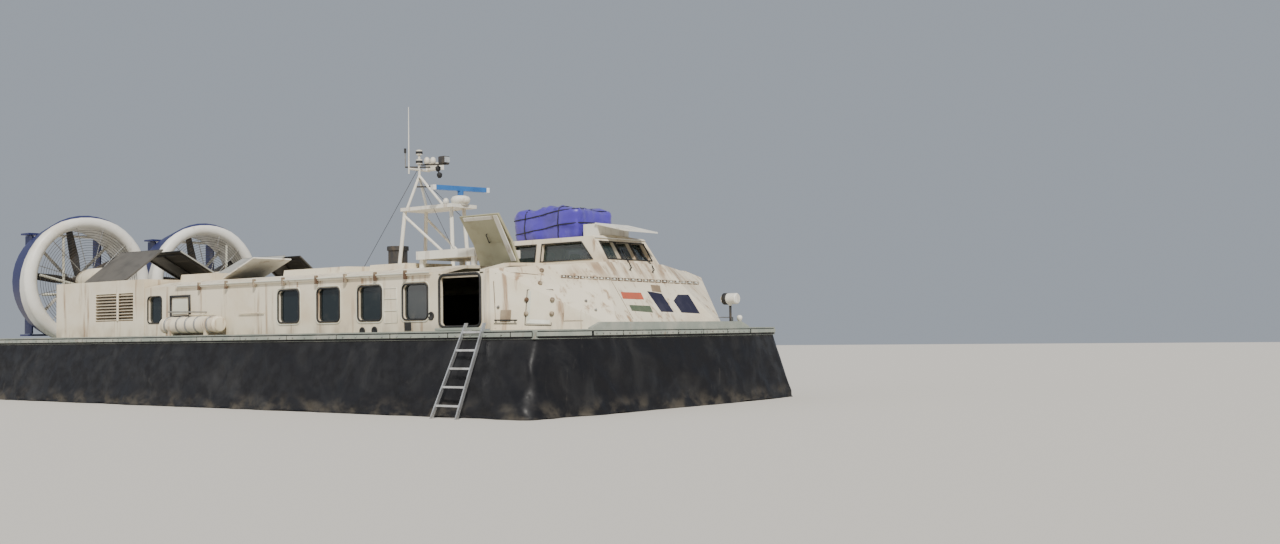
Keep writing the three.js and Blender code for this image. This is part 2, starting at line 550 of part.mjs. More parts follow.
for (const { side, s } of SIDES) {
  const y = s * DUCT.y;
  place(`duct_${side}`, duct(y), WHITE);
  place(`gear_pod_${side}`, gearPod(y), CREAM);
  place(`propeller_${side}`, propeller(y), DARK);
  RUDDER.offsets.forEach((offset, i) => {
    const ry = y + s * offset;
    const half = RUDDER.thickness / 2;
    const outline = [
      [RUDDER.foreX, ry - half * 0.6], [RUDDER.foreX - 120, ry - half], [RUDDER.aftX, ry - 12],
      [RUDDER.aftX, ry + 12], [RUDDER.foreX - 120, ry + half], [RUDDER.foreX, ry + half * 0.6],
    ];
    const blade = alongZ(outline.reverse(), RUDDER.z0, RUDDER.z1);
    const reach = RUDDER.gap - FIT;
    const pintle = bar([RUDDER.pinX, ry, RUDDER.z0 - reach], [RUDDER.pinX, ry, RUDDER.z1 + reach], 24, 24, 12);
    place(`rudder_${i ? 'outer' : 'inner'}_${side}`, blade.add(pintle), NAVY);
  });
}

// Mast: a braced frame with a platform, a top pole, lamps and a whip
const MAST = { aftX: 2300, foreX: 3950, half: 420, platformZ: 4420, scannerZ: 4700, topZ: 5900, whipZ: 6880 };
function mast() {
  const roofZ = ROOF_CROWN_Z - 60;
  // Each leg's foot and head, as x and y
  const legEnds = [-1, 1].flatMap((s) => [
    { foot: [MAST.aftX, s * MAST.half], head: [MAST.aftX + 150, s * MAST.half * 0.8] },
    { foot: [MAST.foreX, s * MAST.half * 0.6], head: [MAST.foreX - 100, s * 200] },
  ]);
  const legs = legEnds.map(({ foot, head }) => bar([...foot, roofZ], [...head, MAST.platformZ + 30], 45));
  const pads = legEnds.map(({ foot: [x, y] }) => block([x - 110, y - 110, roofZ], [x + 110, y + 110, ROOF_CROWN_Z + 30]));
  const platform = block([MAST.aftX + 60, -400, MAST.platformZ], [MAST.foreX + 120, 400, MAST.platformZ + 80]);
  const braces = [-1, 1].map((s) => bar(
    [MAST.foreX - 20, s * 240, roofZ + 300], [MAST.aftX + 120, s * 340, MAST.platformZ - 100], 32));
  const apex = [MAST.aftX + 280, 0, 5280];
  const frame = [-1, 1].map((s) => bar([MAST.aftX + 200, s * 330, MAST.platformZ + 40], apex, 32));
  const backstay = bar([MAST.foreX - 500, 0, MAST.platformZ + 40], apex, 32);
  const pole = bar([apex[0], 0, 5200], [apex[0], 0, MAST.topZ], 30);
  const crossbar = bar([apex[0], -330, 5420], [apex[0], 330, 5420], 26);
  const lamps = [[0, 5560], [0, 5780]].map(([y, z]) => bar([apex[0], y, z], [apex[0], y, z + 110], 75, 75, 10));
  const whip = bar([MAST.aftX + 280, -330, 5300], [MAST.aftX + 280, -330, MAST.whipZ], 18, 8, 6);
  const camera = block([apex[0] - 20, 230, 5430], [apex[0] + 400, 420, 5590]);
  const gearbox = bar([MAST.foreX, 0, MAST.platformZ + 70], [MAST.foreX, 0, MAST.scannerZ - FIT], 170, 130, 14);
  return joined([
    ...legs, ...pads, platform, ...braces, ...frame, backstay, pole, crossbar, ...lamps, whip, camera, gearbox,
  ]).subtract(roofSpace);
}
place('mast', mast(), WHITE);
const scanner = new THREE.Group();
scanner.position.set(MAST.foreX, 0, MAST.scannerZ);
scanner.rotation.z = THREE.MathUtils.degToRad(75);
craft.add(scanner);
place('radar_scanner', joined([
  bar([0, 0, 0], [0, 0, 120], 70, 70, 12), block([-740, -60, 110], [740, 60, 220]),
]), RADAR_BLUE, scanner);

// Exhaust stack behind the mast
place('exhaust_stack', joined([
  bar([1820, 0, ROOF_CROWN_Z - 40], [1820, 0, 3560], 230, 230, 20),
  bar([1820, 0, 3540], [1820, 0, 3640], 260, 260, 20),
]).subtract(roofSpace), DARK);

// Raised hoods on the roof beside the wheelhouse
for (const { side, s } of SIDES) {
  const slab = block([5210, s * 1200, 3080], [6900, s * 2560, 3250]);
  const posts = [[5300, 1300], [5300, 2460], [6800, 1300], [6800, 2460]].map(([x, y]) => block(
    [x - 50, s * y - 40, 2800], [x + 50, s * y + 40, 3090]));
  place(`roof_hood_${side}`, joined([slab, ...posts]).subtract(roofSpace), WHITE);
}

// Lid over the aft roof hatch, propped open
const LID_PIN_R = 24;
const lidHinge = new THREE.Group();
lidHinge.position.set(AFT_HATCH.x0 - 40, 0, roofLevel(AFT_HATCH.y1) + LID_PIN_R + FIT);
lidHinge.rotation.y = THREE.MathUtils.degToRad(-20);
craft.add(lidHinge);
place('aft_roof_lid', joined([
  block([0, AFT_HATCH.y0 - 40, -15], [AFT_HATCH.x1 - AFT_HATCH.x0 + 80, AFT_HATCH.y1 + 40, 15]),
  bar([0, AFT_HATCH.y0, 0], [0, AFT_HATCH.y1, 0], LID_PIN_R, LID_PIN_R, 12),
]), WHITE, lidHinge);

// Life raft canisters on the side decks
for (const { side, s } of SIDES) {
  const y = s * 3800;
  const z = DECK_Z + 240;
  const drum = turnedX([
    [-1980, 0], [-1980, 150], [-1930, 190], [170 - 50, 190], [170, 150], [170, 0],
  ], y, z, 16);
  const cradles = [-1600, -200].map((x) => block([x - 40, y - 150, DECK_Z + FIT], [x + 40, y + 150, z - 80]));
  place(`life_raft_${side}`, joined([drum, ...cradles]), WHITE);
}

// Tarpaulin bundle lashed on the wheelhouse roof
place('tarp_bundle', hullOf([-1, 1].flatMap((s) => [
  [6100, s * 640, HOUSE.eaveZ - 20], [7980, s * 640, HOUSE.eaveZ - 20],
  [6050, s * 700, 3760], [8040, s * 700, 3760], [6130, s * 600, 4120], [7960, s * 600, 4170],
  [6400, s * 350, 4200], [7700, s * 350, 4230],
])).subtract(houseBody(-FIT, 0)), TARP);

// Hood on the wheelhouse roof with a plate that slopes down over the windscreen
place('visor_hood', joined([
  block([8060, -520, HOUSE.eaveZ], [8440, 520, 3760]),
  hullOf([-560, 560].flatMap((y) => [[8400, y, 3745], [8400, y, 3775], [9180, y, 3560], [9180, y, 3590]])),
]).subtract(houseBody(-FIT, 0)), WHITE);

// Side doors that slide aft inside the wall; the starboard one stands open
for (const { side, s } of SIDES) {
  const x0 = DOORWAY.x0 - DOOR_LEAF.overlap;
  const x1 = DOORWAY.x1 + DOOR_LEAF.overlap;
  const yOuter = s * (SIDE_Y - WALL - 20);
  const yInner = yOuter - s * DOOR_LEAF.thickness;
  const leaf = block([x0, yOuter, DOORWAY.z0 - 60], [x1, yInner, DOOR_RAIL.z0 - FIT]);
  const light = block([x0 + 350, yOuter + s * 10, 2200], [x1 - 350, yInner - s * 10, 2420]);
  const open = s < 0 ? -1170 : 0;
  place(`side_door_${side}`, cut(leaf, [light]).translate([open, 0, 0]), CREAM);
}

// Roof hatches over the doorways, hinged inboard; the starboard one stands open
for (const { side, s } of SIDES) {
  const { frameY, edgeY, thickness, pinR, x0, x1 } = ROOF_HATCH;
  const hingeY = frameY + pinR + FIT;
  const hingeZ = roofLevel(frameY) - 2;
  const top = [[hingeY, hingeZ + pinR], [ROOF_SHOULDER.y, ROOF_SHOULDER.z + 20], [edgeY, ROOF_EDGE_Z + 20]];
  const outline = [...top, ...top.map(([y, z]) => [y, z - thickness]).reverse()]
    .map(([y, z]) => [s * (y - hingeY), z - hingeZ]);
  const lid = alongX(s > 0 ? outline.reverse() : outline, x0, x1);
  const pin = bar([x0 + 60, 0, 0], [x1 - 60, 0, 0], pinR, pinR, 12);
  const hinge = hingedX(s * hingeY, hingeZ, s < 0 ? -ROOF_HATCH.open : 0);
  place(`roof_hatch_${side}`, lid.add(pin), KHAKI, hinge);
}

// Searchlight on its bracket at the bow
const LAMP = { x: 9790, y: 2330, z: 2200, postTop: -150 };
place('searchlight_bracket', joined([
  block([LAMP.x - 120, LAMP.y - 120, DECK_Z + FIT], [LAMP.x + 120, LAMP.y + 120, DECK_Z + 20]),
  bar([LAMP.x, LAMP.y, DECK_Z + 10], [LAMP.x, LAMP.y, LAMP.z + LAMP.postTop], 28),
]), DARK);
const lampGroup = new THREE.Group();
lampGroup.position.set(LAMP.x, LAMP.y, LAMP.z);
craft.add(lampGroup);
place('searchlight', joined([
  turnedX([[-190, 0], [-190, 90], [-150, 120], [170, 120], [190, 100], [190, 0]], 0, 0, 16),
  bar([0, 0, LAMP.postTop + FIT], [0, 0, 0], 40, 40, 8),
]), WHITE, lampGroup);

// Boarding ladder hooked over the deck edge and standing on the ground
const LADDER = {
  x: 8350, width: 480, footWidth: 640, footY: -4800, topZ: 1720, depth: 70, rungs: 5, firstRung: 230, pitch: 330,
};
function ladder() {
  const edgeY = -DECK_HALF - FIT;
  const innerY = (z) => LADDER.footY + ((edgeY - LADDER.footY) * z) / DECK_Z;
  const halfAt = (z) => (LADDER.footWidth + ((LADDER.width - LADDER.footWidth) * z) / DECK_Z) / 2;
  const rails = [-1, 1].map((k) => hullOf([0, LADDER.topZ].flatMap((z) => [-15, 15].flatMap((dx) => [
    [LADDER.x + k * halfAt(z) + dx, innerY(z), z], [LADDER.x + k * halfAt(z) + dx, innerY(z) - LADDER.depth, z],
  ]))));
  const rungs = Array.from({ length: LADDER.rungs }, (_, i) => {
    const z = LADDER.firstRung + i * LADDER.pitch;
    const y = innerY(z) - LADDER.depth / 2;
    return block([LADDER.x - halfAt(z), y - 22, z - 18], [LADDER.x + halfAt(z), y + 22, z + 18]);
  });
  // Hooks that lie on the deck behind its edge
  const hooks = [-1, 1].map((k) => {
    const x = LADDER.x + k * halfAt(DECK_Z);
    return block([x - 15, edgeY - 40, DECK_Z + FIT], [x + 15, edgeY + 160, DECK_Z + 30]);
  });
  return joined([...rails, ...rungs, ...hooks]);
}
place('boarding_ladder', ladder(), ALUMINIUM);

export default craft;
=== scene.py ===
# Dressed scene of a twin-duct hovercraft on a plain floor, seen from the starboard bow.
# Metres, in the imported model's frame: +X is the bow, +Y is port, +Z is up.
import functools
import json
from math import cos, exp, hypot, pi, radians, sin, sqrt
import bpy
import bmesh
from mathutils import Matrix, Vector, noise
from mathutils.bvhtree import BVHTree

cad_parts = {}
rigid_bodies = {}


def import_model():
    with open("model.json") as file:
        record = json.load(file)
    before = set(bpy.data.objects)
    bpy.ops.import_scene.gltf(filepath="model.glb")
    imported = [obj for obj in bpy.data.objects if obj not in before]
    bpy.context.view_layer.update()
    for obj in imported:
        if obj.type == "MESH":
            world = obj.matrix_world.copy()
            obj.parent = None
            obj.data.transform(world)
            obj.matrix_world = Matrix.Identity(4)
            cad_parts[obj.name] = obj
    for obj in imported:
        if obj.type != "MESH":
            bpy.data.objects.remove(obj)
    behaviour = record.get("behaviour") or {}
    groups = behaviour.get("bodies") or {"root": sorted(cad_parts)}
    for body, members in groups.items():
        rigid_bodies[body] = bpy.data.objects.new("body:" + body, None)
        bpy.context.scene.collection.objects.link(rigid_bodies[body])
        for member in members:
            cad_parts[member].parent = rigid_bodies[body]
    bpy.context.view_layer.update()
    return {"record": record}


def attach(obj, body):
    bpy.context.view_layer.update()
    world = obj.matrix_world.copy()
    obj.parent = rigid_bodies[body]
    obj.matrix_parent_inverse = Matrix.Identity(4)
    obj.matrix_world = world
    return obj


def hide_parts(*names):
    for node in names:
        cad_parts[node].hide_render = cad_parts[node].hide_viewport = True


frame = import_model()

SIDES = (("starboard", -1), ("port", 1))
DECK_Z = 1.58

# Camera at the photograph's place. A place in the picture is in pixels of a frame of 1280 by 544
PICTURE_WIDTH = 1280
PICTURE_HEIGHT = 544
SENSOR_WIDTH = 36
EYE = Vector((25.5, -21.37, 1.51))
FOCAL_PX = 1310
YAW = radians(127.46)
PITCH = radians(2.62)
ROLL = radians(-0.83)
AHEAD = Vector((cos(YAW) * cos(PITCH), sin(YAW) * cos(PITCH), sin(PITCH)))
LEVEL = AHEAD.cross(Vector((0, 0, 1))).normalized()
RIGHT = LEVEL * cos(ROLL) + LEVEL.cross(AHEAD) * sin(ROLL)
UP = RIGHT.cross(AHEAD)


def add(name, data):
    """Adds an object to the scene."""
    obj = bpy.data.objects.new(name, data)
    bpy.context.scene.collection.objects.link(obj)
    return obj


def make_camera():
    data = bpy.data.cameras.new("camera")
    data.sensor_fit = "HORIZONTAL"
    data.sensor_width = SENSOR_WIDTH
    data.lens = FOCAL_PX * SENSOR_WIDTH / PICTURE_WIDTH
    data.clip_end = 500
    cam = add("camera", data)
    turn = Matrix((RIGHT, UP, -AHEAD)).transposed().to_4x4()
    cam.matrix_world = Matrix.Translation(EYE) @ turn
    bpy.context.scene.camera = cam


def ray_through(px, py):
    """Way from the eye through a place in the picture."""
    across = (px - PICTURE_WIDTH / 2) / FOCAL_PX
    upward = (PICTURE_HEIGHT / 2 - py) / FOCAL_PX
    return AHEAD + RIGHT * across + UP * upward


def on_plane(px, py, point, normal):
    """Point of a plane that shows at a place in the picture."""
    ray = ray_through(px, py)
    reach = (Vector(point) - EYE).dot(Vector(normal)) / ray.dot(Vector(normal))
    return EYE + ray * reach


make_camera()

# Floor and lights
FLOOR_HALF = 90
FLOOR_COLOUR = (0.6, 0.57, 0.52, 1)
SKY_COLOUR = (0.8, 0.88, 1, 1)
SKY_STRENGTH = 0.45
SUN_COLOUR = (1, 0.96, 0.89)


def make_floor():
    mesh = bpy.data.meshes.new("floor")
    h = FLOOR_HALF
    mesh.from_pydata([(-h, -h, 0), (h, -h, 0), (h, h, 0), (-h, h, 0)], [], [(0, 1, 2, 3)])
    obj = add("floor", mesh)
    mat = bpy.data.materials.new("floor")
    mat.use_nodes = True
    shader = mat.node_tree.nodes["Principled BSDF"]
    shader.inputs["Base Color"].default_value = FLOOR_COLOUR
    shader.inputs["Roughness"].default_value = 0.9
    mesh.materials.append(mat)


def make_sun(name, toward, strength, spread):
    """Sun that shines toward a way; its disc is so many degrees across."""
    data = bpy.data.lights.new(name, "SUN")
    data.energy = strength
    data.angle = radians(spread)
    data.color = SUN_COLOUR
    lamp = add(name, data)
    lamp.rotation_mode = "QUATERNION"
    lamp.rotation_quaternion = Vector(toward).to_track_quat("-Z", "Y")


def make_sky():
    world = bpy.data.worlds.new("studio")
    bpy.context.scene.world = world
    world.use_nodes = True
    back = world.node_tree.nodes["Background"]
    back.inputs["Color"].default_value = SKY_COLOUR
    back.inputs["Strength"].default_value = SKY_STRENGTH


make_floor()
make_sky()
make_sun("key", (-0.55, 0.45, -0.7), 4.6, 5)
make_sun("fill", (0.5, 0.75, -0.25), 0.5, 40)


# Materials, all made of nodes
EVEN = (1, 1, 1)


class Finish:
    """A material for a slot, its colour built up in layers from noise in object coordinates."""

    def __init__(self, name, slot, colour, rough, metal=0):
        self.slot = slot
        self.mat = bpy.data.materials.new(name)
        self.mat.use_nodes = True
        self.shader = self.mat.node_tree.nodes["Principled BSDF"]
        self.feed(self.shader, {"Metallic": metal, "Roughness": rough})
        self.coord = self.node("TexCoord", {})
        self.colour = (*colour, 1)

    def feed(self, node, inputs):
        """Sets a node's inputs, or links them where the value is another node's output."""
        for key, value in inputs.items():
            if isinstance(value, bpy.types.NodeSocket):
                self.mat.node_tree.links.new(value, node.inputs[key])
            else:
                node.inputs[key].default_value = value

    def node(self, kind, inputs, **settings):
        made = self.mat.node_tree.nodes.new("ShaderNode" + kind)
        for key, value in settings.items():
            setattr(made, key, value)
        self.feed(made, inputs)
        return made

    def noise(self, stretch=EVEN, scale=1, detail=5, rough=0.55, warp=0):
        mapping = self.node("Mapping", {"Vector": self.coord.outputs["Object"], "Scale": stretch})
        made = self.node("TexNoise", {
            "Vector": mapping.outputs["Vector"], "Scale": scale, "Detail": detail, "Roughness": rough,
            "Distortion": warp,
        })
        return made.outputs["Fac"]

    def ramp(self, value, low, high, amount=1):
        """Rises smoothly from 0 where the value is low to an amount where it is high."""
        inputs = {"Value": value, "From Min": low, "From Max": high, "To Max": amount}
        return self.node("MapRange", inputs, interpolation_type="SMOOTHSTEP").outputs["Result"]

    def axis(self, index, source="Object"):
        """One coordinate of the place, or with Normal of the way that the surface faces."""
        return self.node("SeparateXYZ", {0: self.coord.outputs[source]}).outputs[index]

    def math(self, operation, a, b=0):
        return self.node("Math", {0: a, 1: b}, operation=operation).outputs[0]

    def times(self, a, b):
        return self.math("MULTIPLY", a, b)

    def distance(self, a, b):
        """Length of a step that goes a one way and b square to it."""
        return self.math("SQRT", self.math("ADD", self.times(a, a), self.times(b, b)))

    def layer(self, rgb, mask):
        """Lays a colour over what is there, through a mask."""
        inputs = {"A": self.colour, "B": (*rgb, 1), "Factor": mask}
        self.colour = self.node("Mix", inputs, data_type="RGBA").outputs["Result"]

    def stain(self, rgb, pattern, limits):
        """Lays a colour where a noise is high: its pattern, then low, high and amount of the ramp."""
        self.layer(rgb, self.ramp(self.noise(*pattern), *limits))

    def finish(self, bump, scale, detail, depth, rough=None):
        """Adds fine bumps, and roughness where it varies. Gives back the look: material and slot."""
        height = self.noise(EVEN, scale, detail)
        bumps = self.node("Bump", {"Strength": bump, "Distance": depth, "Height": height})
        self.feed(self.shader, {"Base Color": self.colour, "Normal": bumps.outputs["Normal"]})
        if rough is not None:
            self.feed(self.shader, {"Roughness": rough})
        return self.mat, self.slot


# Colours of dirt, and the heights and places where it starts and where it is full
DECK_DIRT = (0.26, 0.2, 0.13)
DECK_DIRT_Z = (1.95, 1.55)
SCREEN_DIRT = (0.24, 0.13, 0.06)
SCREEN_DIRT_X = (8.7, 8.98)
SCREEN_DIRT_Z = (2.35, 2.8)


def weathered(name, slot, light, dark, rust, rough, streaks, low_dirt=True, screen_dirt=False):
    """Marine paint with patches, rust runs, fine speckle, and dirt by the deck or under the windscreen."""
    f = Finish(name, slot, light, rough)
    f.stain(dark, ((0.8, 0.8, 1.2), 1, 6), (0.42, 0.72, 0.75))
    f.stain(rust, ((5, 5, 0.35), 1, 7, 0.62, 0.3), (0.535, 0.7, 0.6 * streaks))
    f.stain(rust, (EVEN, 9, 8, 0.7), (0.62, 0.76, 0.55 * streaks))
    if low_dirt:
        height = f.ramp(f.axis(2), *DECK_DIRT_Z)
        patchy = f.ramp(f.noise((2.5, 2.5, 1.5)), 0.4, 0.65, 0.5)
        f.layer(DECK_DIRT, f.times(height, patchy))
    if screen_dirt:
        below_screen = f.times(f.ramp(f.axis(0), *SCREEN_DIRT_X), f.ramp(f.axis(2), *SCREEN_DIRT_Z))
        runs = f.ramp(f.noise((0.8, 4.5, 0.8), 1, 7, 0.62, 0.2), 0.4, 0.62, 0.75)
        f.layer(SCREEN_DIRT, f.times(below_screen, runs))
    dull = f.ramp(f.noise(EVEN, 3), 0.3, 0.7, 0.35)
    return f.finish(0.25, 26, 4, 0.004, f.math("ADD", dull, rough - 0.15))


def make_deck_paint():
    f = Finish("deck_paint", "deck_grey", (0.27, 0.3, 0.26), 0.8)
    f.stain((0.4, 0.4, 0.34), (EVEN, 2.2, 6), (0.4, 0.7, 0.8))
    f.stain((0.24, 0.15, 0.09), (EVEN, 5, 7, 0.65), (0.6, 0.74, 0.7))
    return f.finish(0.5, 60, 3, 0.004)


# Heights where dust starts and where it is full
HEM_DUST_Z = (0.42, 0.02)


def make_skirt_fabric():
    f = Finish("coated_fabric", "skirt_rubber", (0.008, 0.008, 0.01), 0.5)
    f.stain((0.024, 0.024, 0.025), ((1.3, 1.3, 1.1), 1, 6, 0.6, 0.8), (0.45, 0.75, 0.9))
    f.stain((0.12, 0.11, 0.095), ((4, 4, 0.8), 1, 7, 0.65, 1), (0.62, 0.8, 0.45))
    low = f.ramp(f.axis(2), *HEM_DUST_Z)
    dusty = f.ramp(f.noise((2, 2, 3)), 0.42, 0.66, 0.45)
    f.layer((0.14, 0.12, 0.09), f.times(low, dusty))
    f.feed(f.shader, {"Specular IOR Level": 0.25})
    wear = f.ramp(f.noise(EVEN, 4), 0.35, 0.7, 0.35)
    return f.finish(0.35, 90, 3, 0.003, f.math("ADD", wear, 0.38))


def make_glass(name, tint, alpha):
    f = Finish(name, "window_glass", tint, 0.06)
    f.stain((0.16, 0.15, 0.12), (EVEN, 3.5, 6), (0.55, 0.85, 0.35))
    f.feed(f.shader, {"Alpha": alpha, "Specular IOR Level": 0.7})
    return f.finish(0.05, 2, 2, 0.01)


def make_plain(name, slot, light, dark, rough, metal=0):
    """Metal, rubber or worn paint of two mixed colours."""
    f = Finish(name, slot, light, rough, metal)
    f.stain(dark, ((1, 1, 0.6), 4, 7, 0.6), (0.42, 0.72, 0.85))
    return f.finish(0.3, 40, 3, 0.003)


def make_cover_sheet(name, light, dark):
    """Sheet metal: painted outside; underneath, painted shade on the faces that face down, streaked paler.
    """
    f = Finish(name, "cover_metal", light, 0.5, 0.15)
    f.stain(dark, (EVEN, 2.5, 6), (0.4, 0.7, 0.7))
    # Painted shade: a dark colour laid on every face that faces down
    below = f.ramp(f.axis(2, "Normal"), 0.02, -0.1)
    f.layer((0.055, 0.05, 0.045), below)
    streak = f.ramp(f.noise((0.7, 7, 0.7), 1, 6), 0.5, 0.75, 0.55)
    f.layer((0.22, 0.2, 0.17), f.times(below, streak))
    return f.finish(0.3, 30, 3, 0.004)


# Axes of the ducts, and where the colours of their skin, throat and navy part start and are full
DUCT_Y = 1.88
DUCT_Z = 3.13
DUCT_SKIN_RADII = (1.52, 1.54)
DUCT_THROAT_RADII = (1.49, 1.46)
NAVY_EDGE_X = (-9.02, -9.04)
NAVY_SLANT = -0.25
DUCT_NAVY = (0.018, 0.022, 0.1)


def make_duct_paint(name, y):
    """White duct whose outer skin is navy behind a slanted line, with grime in the throat."""
    f = Finish(name, "white_paint", (0.78, 0.765, 0.71), 0.45)
    f.stain((0.62, 0.57, 0.47), ((1.2, 1.2, 1.2), 1, 6), (0.45, 0.72, 0.7))
    f.stain((0.3, 0.17, 0.09), ((4, 4, 0.8), 1, 7, 0.65), (0.62, 0.76, 0.5))
    dy = f.math("SUBTRACT", f.axis(1), y)
    dz = f.math("SUBTRACT", f.axis(2), DUCT_Z)
    radius = f.distance(dy, dz)
    outside = f.ramp(radius, *DUCT_SKIN_RADII)
    slant = f.math("ADD", f.axis(0), f.times(dz, NAVY_SLANT))
    behind = f.ramp(slant, *NAVY_EDGE_X)
    f.layer(DUCT_NAVY, f.times(outside, behind))
    throat = f.ramp(radius, *DUCT_THROAT_RADII, 0.45)
    grime = f.ramp(f.noise(EVEN, 3, 6), 0.35, 0.65)
    f.layer((0.2, 0.19, 0.17), f.times(throat, grime))
    return f.finish(0.2, 25, 4, 0.004)


SCANNER_X = 3.95
SCANNER_TIP_RADII = (0.66, 0.67)


def make_scanner_paint():
    """Blue scanner bar with pale tips."""
    f = Finish("scanner_paint", "scanner_blue", (0.035, 0.15, 0.42), 0.35)
    f.stain((0.025, 0.1, 0.3), (EVEN, 6, 4), (0.4, 0.7, 0.6))
    away = f.distance(f.math("SUBTRACT", f.axis(0), SCANNER_X), f.axis(1))
    f.layer((0.75, 0.75, 0.72), f.ramp(away, *SCANNER_TIP_RADII))
    return f.finish(0.1, 30, 2, 0.002)


def make_tarp_fabric():
    f = Finish("tarp_cloth", "tarp_fabric", (0.065, 0.038, 0.38), 0.42)
    f.stain((0.02, 0.012, 0.16), ((1.6, 1.6, 2.2), 1, 6, 0.6, 1), (0.44, 0.74, 0.85))
    f.stain((0.14, 0.12, 0.46), (EVEN, 7, 7, 0.7), (0.6, 0.78, 0.5))
    f.feed(f.shader, {"Sheen Weight": 0.25})
    return f.finish(0.4, 110, 3, 0.003)


def make_hatch_paint(name, out_y, out_z):
    """Hatch leaf in primer inside and cream outside, which faces out_y, out_z at rest."""
    f = Finish(name, "khaki_paint", (0.4, 0.38, 0.25), 0.62)
    f.stain((0.3, 0.27, 0.17), (EVEN, 3, 6), (0.42, 0.7, 0.8))
    f.stain((0.2, 0.12, 0.06), ((6, 6, 1), 1, 7, 0.65), (0.62, 0.78, 0.6))
    facing = f.math("ADD", f.times(f.axis(1, "Normal"), out_y), f.times(f.axis(2, "Normal"), out_z))
    f.layer((0.78, 0.7, 0.56), f.ramp(facing, 0.1, 0.3))
    return f.finish(0.3, 30, 4, 0.004)


# Looks: a material and the slot that it stands in
CREAM = weathered("weathered_cream", "cream_paint", (0.76, 0.69, 0.54), (0.63, 0.51, 0.35),
                  (0.27, 0.14, 0.06), 0.5, 1.35, screen_dirt=True)
WHITE = weathered("satin_white", "white_paint", (0.77, 0.75, 0.67), (0.62, 0.56, 0.46),
                  (0.28, 0.17, 0.08), 0.42, 0.8, low_dirt=False)
PALE = weathered("pale_panel", "cream_paint", (0.66, 0.66, 0.56), (0.57, 0.55, 0.44),
                 (0.33, 0.2, 0.1), 0.5, 0.6)
DECK = make_deck_paint()
RUBBER = make_skirt_fabric()
DARK_GLASS = make_glass("cabin_glass", (0.012, 0.018, 0.02), 0.92)
CLEAR_GLASS = make_glass("screen_glass", (0.02, 0.035, 0.035), 0.5)
NAVY = weathered("navy_paint", "navy_paint", (0.02, 0.026, 0.12), (0.035, 0.042, 0.15),
                 (0.1, 0.08, 0.07), 0.4, 0.5, low_dirt=False)
COVER = make_cover_sheet("cover_sheet", (0.42, 0.42, 0.39), (0.26, 0.25, 0.22))
# Darker copy of the cover sheet: painted shade for the outer leaves
SHADED_COVER = make_cover_sheet("shaded_cover_sheet", (0.12, 0.11, 0.095), (0.06, 0.055, 0.048))
DARK = make_plain("dark_metal", "dark_metal", (0.035, 0.035, 0.037), (0.11, 0.085, 0.06), 0.55, 0.2)
SEAL = make_plain("black_seal", "dark_metal", (0.012, 0.012, 0.013), (0.045, 0.042, 0.038), 0.7)
STEEL = make_plain("dull_steel", "dark_metal", (0.36, 0.36, 0.35), (0.22, 0.2, 0.17), 0.45, 0.7)
ALUMINIUM = make_plain("bare_aluminium", "ladder_aluminium", (0.62, 0.63, 0.64), (0.42, 0.41, 0.39),
                       0.38, 0.85)
OPEN_HATCH = make_hatch_paint("hatch_primer_open", 0.914, 0.407)
CLOSED_HATCH = make_hatch_paint("hatch_primer", 0, 1)
TARP = make_tarp_fabric()
SEAT = make_plain("seat_cloth", "seat_fabric", (0.36, 0.5, 0.3), (0.26, 0.38, 0.22), 0.85)
SCANNER = make_scanner_paint()
RUST = make_plain("rusty_batten", "dark_metal", (0.1, 0.055, 0.03), (0.62, 0.53, 0.38), 0.75)
RED = make_plain("red_bar", "cream_paint", (0.48, 0.1, 0.05), (0.36, 0.1, 0.06), 0.55)
GREEN = make_plain("green_bar", "cream_paint", (0.07, 0.1, 0.06), (0.14, 0.15, 0.1), 0.55)
BLUE_BAND = make_plain("navy_band", "navy_paint", (0.01, 0.009, 0.03), (0.03, 0.028, 0.05), 0.5)
BROWN = make_plain("brown_panel", "cream_paint", (0.22, 0.16, 0.1), (0.34, 0.27, 0.18), 0.7)
LENS = make_plain("lamp_lens", "window_glass", (0.45, 0.48, 0.5), (0.3, 0.32, 0.34), 0.12)

# The same materials in other slots
RUBBER_SEAL = (SEAL[0], "skirt_rubber")
BROWN_METAL = (BROWN[0], "dark_metal")
STEEL_RAIL = (STEEL[0], "ladder_aluminium")
STEEL_POLE = (STEEL[0], "white_paint")
SEAT_FRAME = (DARK[0], "seat_fabric")
WHITE_STRIP = (WHITE[0], "cream_paint")

# Look of each slot on the frame, and of the nodes that differ from it
LOOKS = {look[1]: look for look in (
    CREAM, DECK, RUBBER, DARK_GLASS, NAVY, WHITE, COVER, DARK, CLOSED_HATCH, ALUMINIUM, TARP, SEAT, SCANNER,
)}
SPECIAL = {"windscreen_glazing": CLEAR_GLASS, "roof_hatch_starboard": OPEN_HATCH}
for side_name, sign in SIDES:
    SPECIAL["duct_" + side_name] = make_duct_paint("duct_paint_" + side_name, sign * DUCT_Y)
    SPECIAL["wheelhouse_glazing_" + side_name] = CLEAR_GLASS
    # The outer leaves take the darker copy of the cover sheet, as painted shade
    SPECIAL["engine_cover_outer_" + side_name] = SHADED_COVER
    SPECIAL["life_raft_" + side_name] = CREAM

# Nodes shaded as round, and the widest angle between faces that still shade as one
ROUND_NODES = ("duct_", "gear_pod_", "life_raft_", "exhaust_stack", "propeller_", "searchlight")
ROUND_LIMIT = cos(radians(35))


def shade_round(mesh):
    """Shades faces that meet gently as one curved surface; the mesh itself stays as it is."""
    mesh.shade_smooth()
    keys = [tuple(round(c, 5) for c in v.co) for v in mesh.vertices]
    corners = [(poly, keys[index]) for poly in mesh.polygons for index in poly.vertices]
    around = {}
    for poly, key in corners:
        around.setdefault(key, []).append(poly)
    normals = []
    for poly, key in corners:
        near = [other for other in around[key] if poly.normal.dot(other.normal) > ROUND_LIMIT]
        normals.append(sum((other.normal * other.area for other in near), Vector()).normalized())
    mesh.normals_split_custom_set(normals)


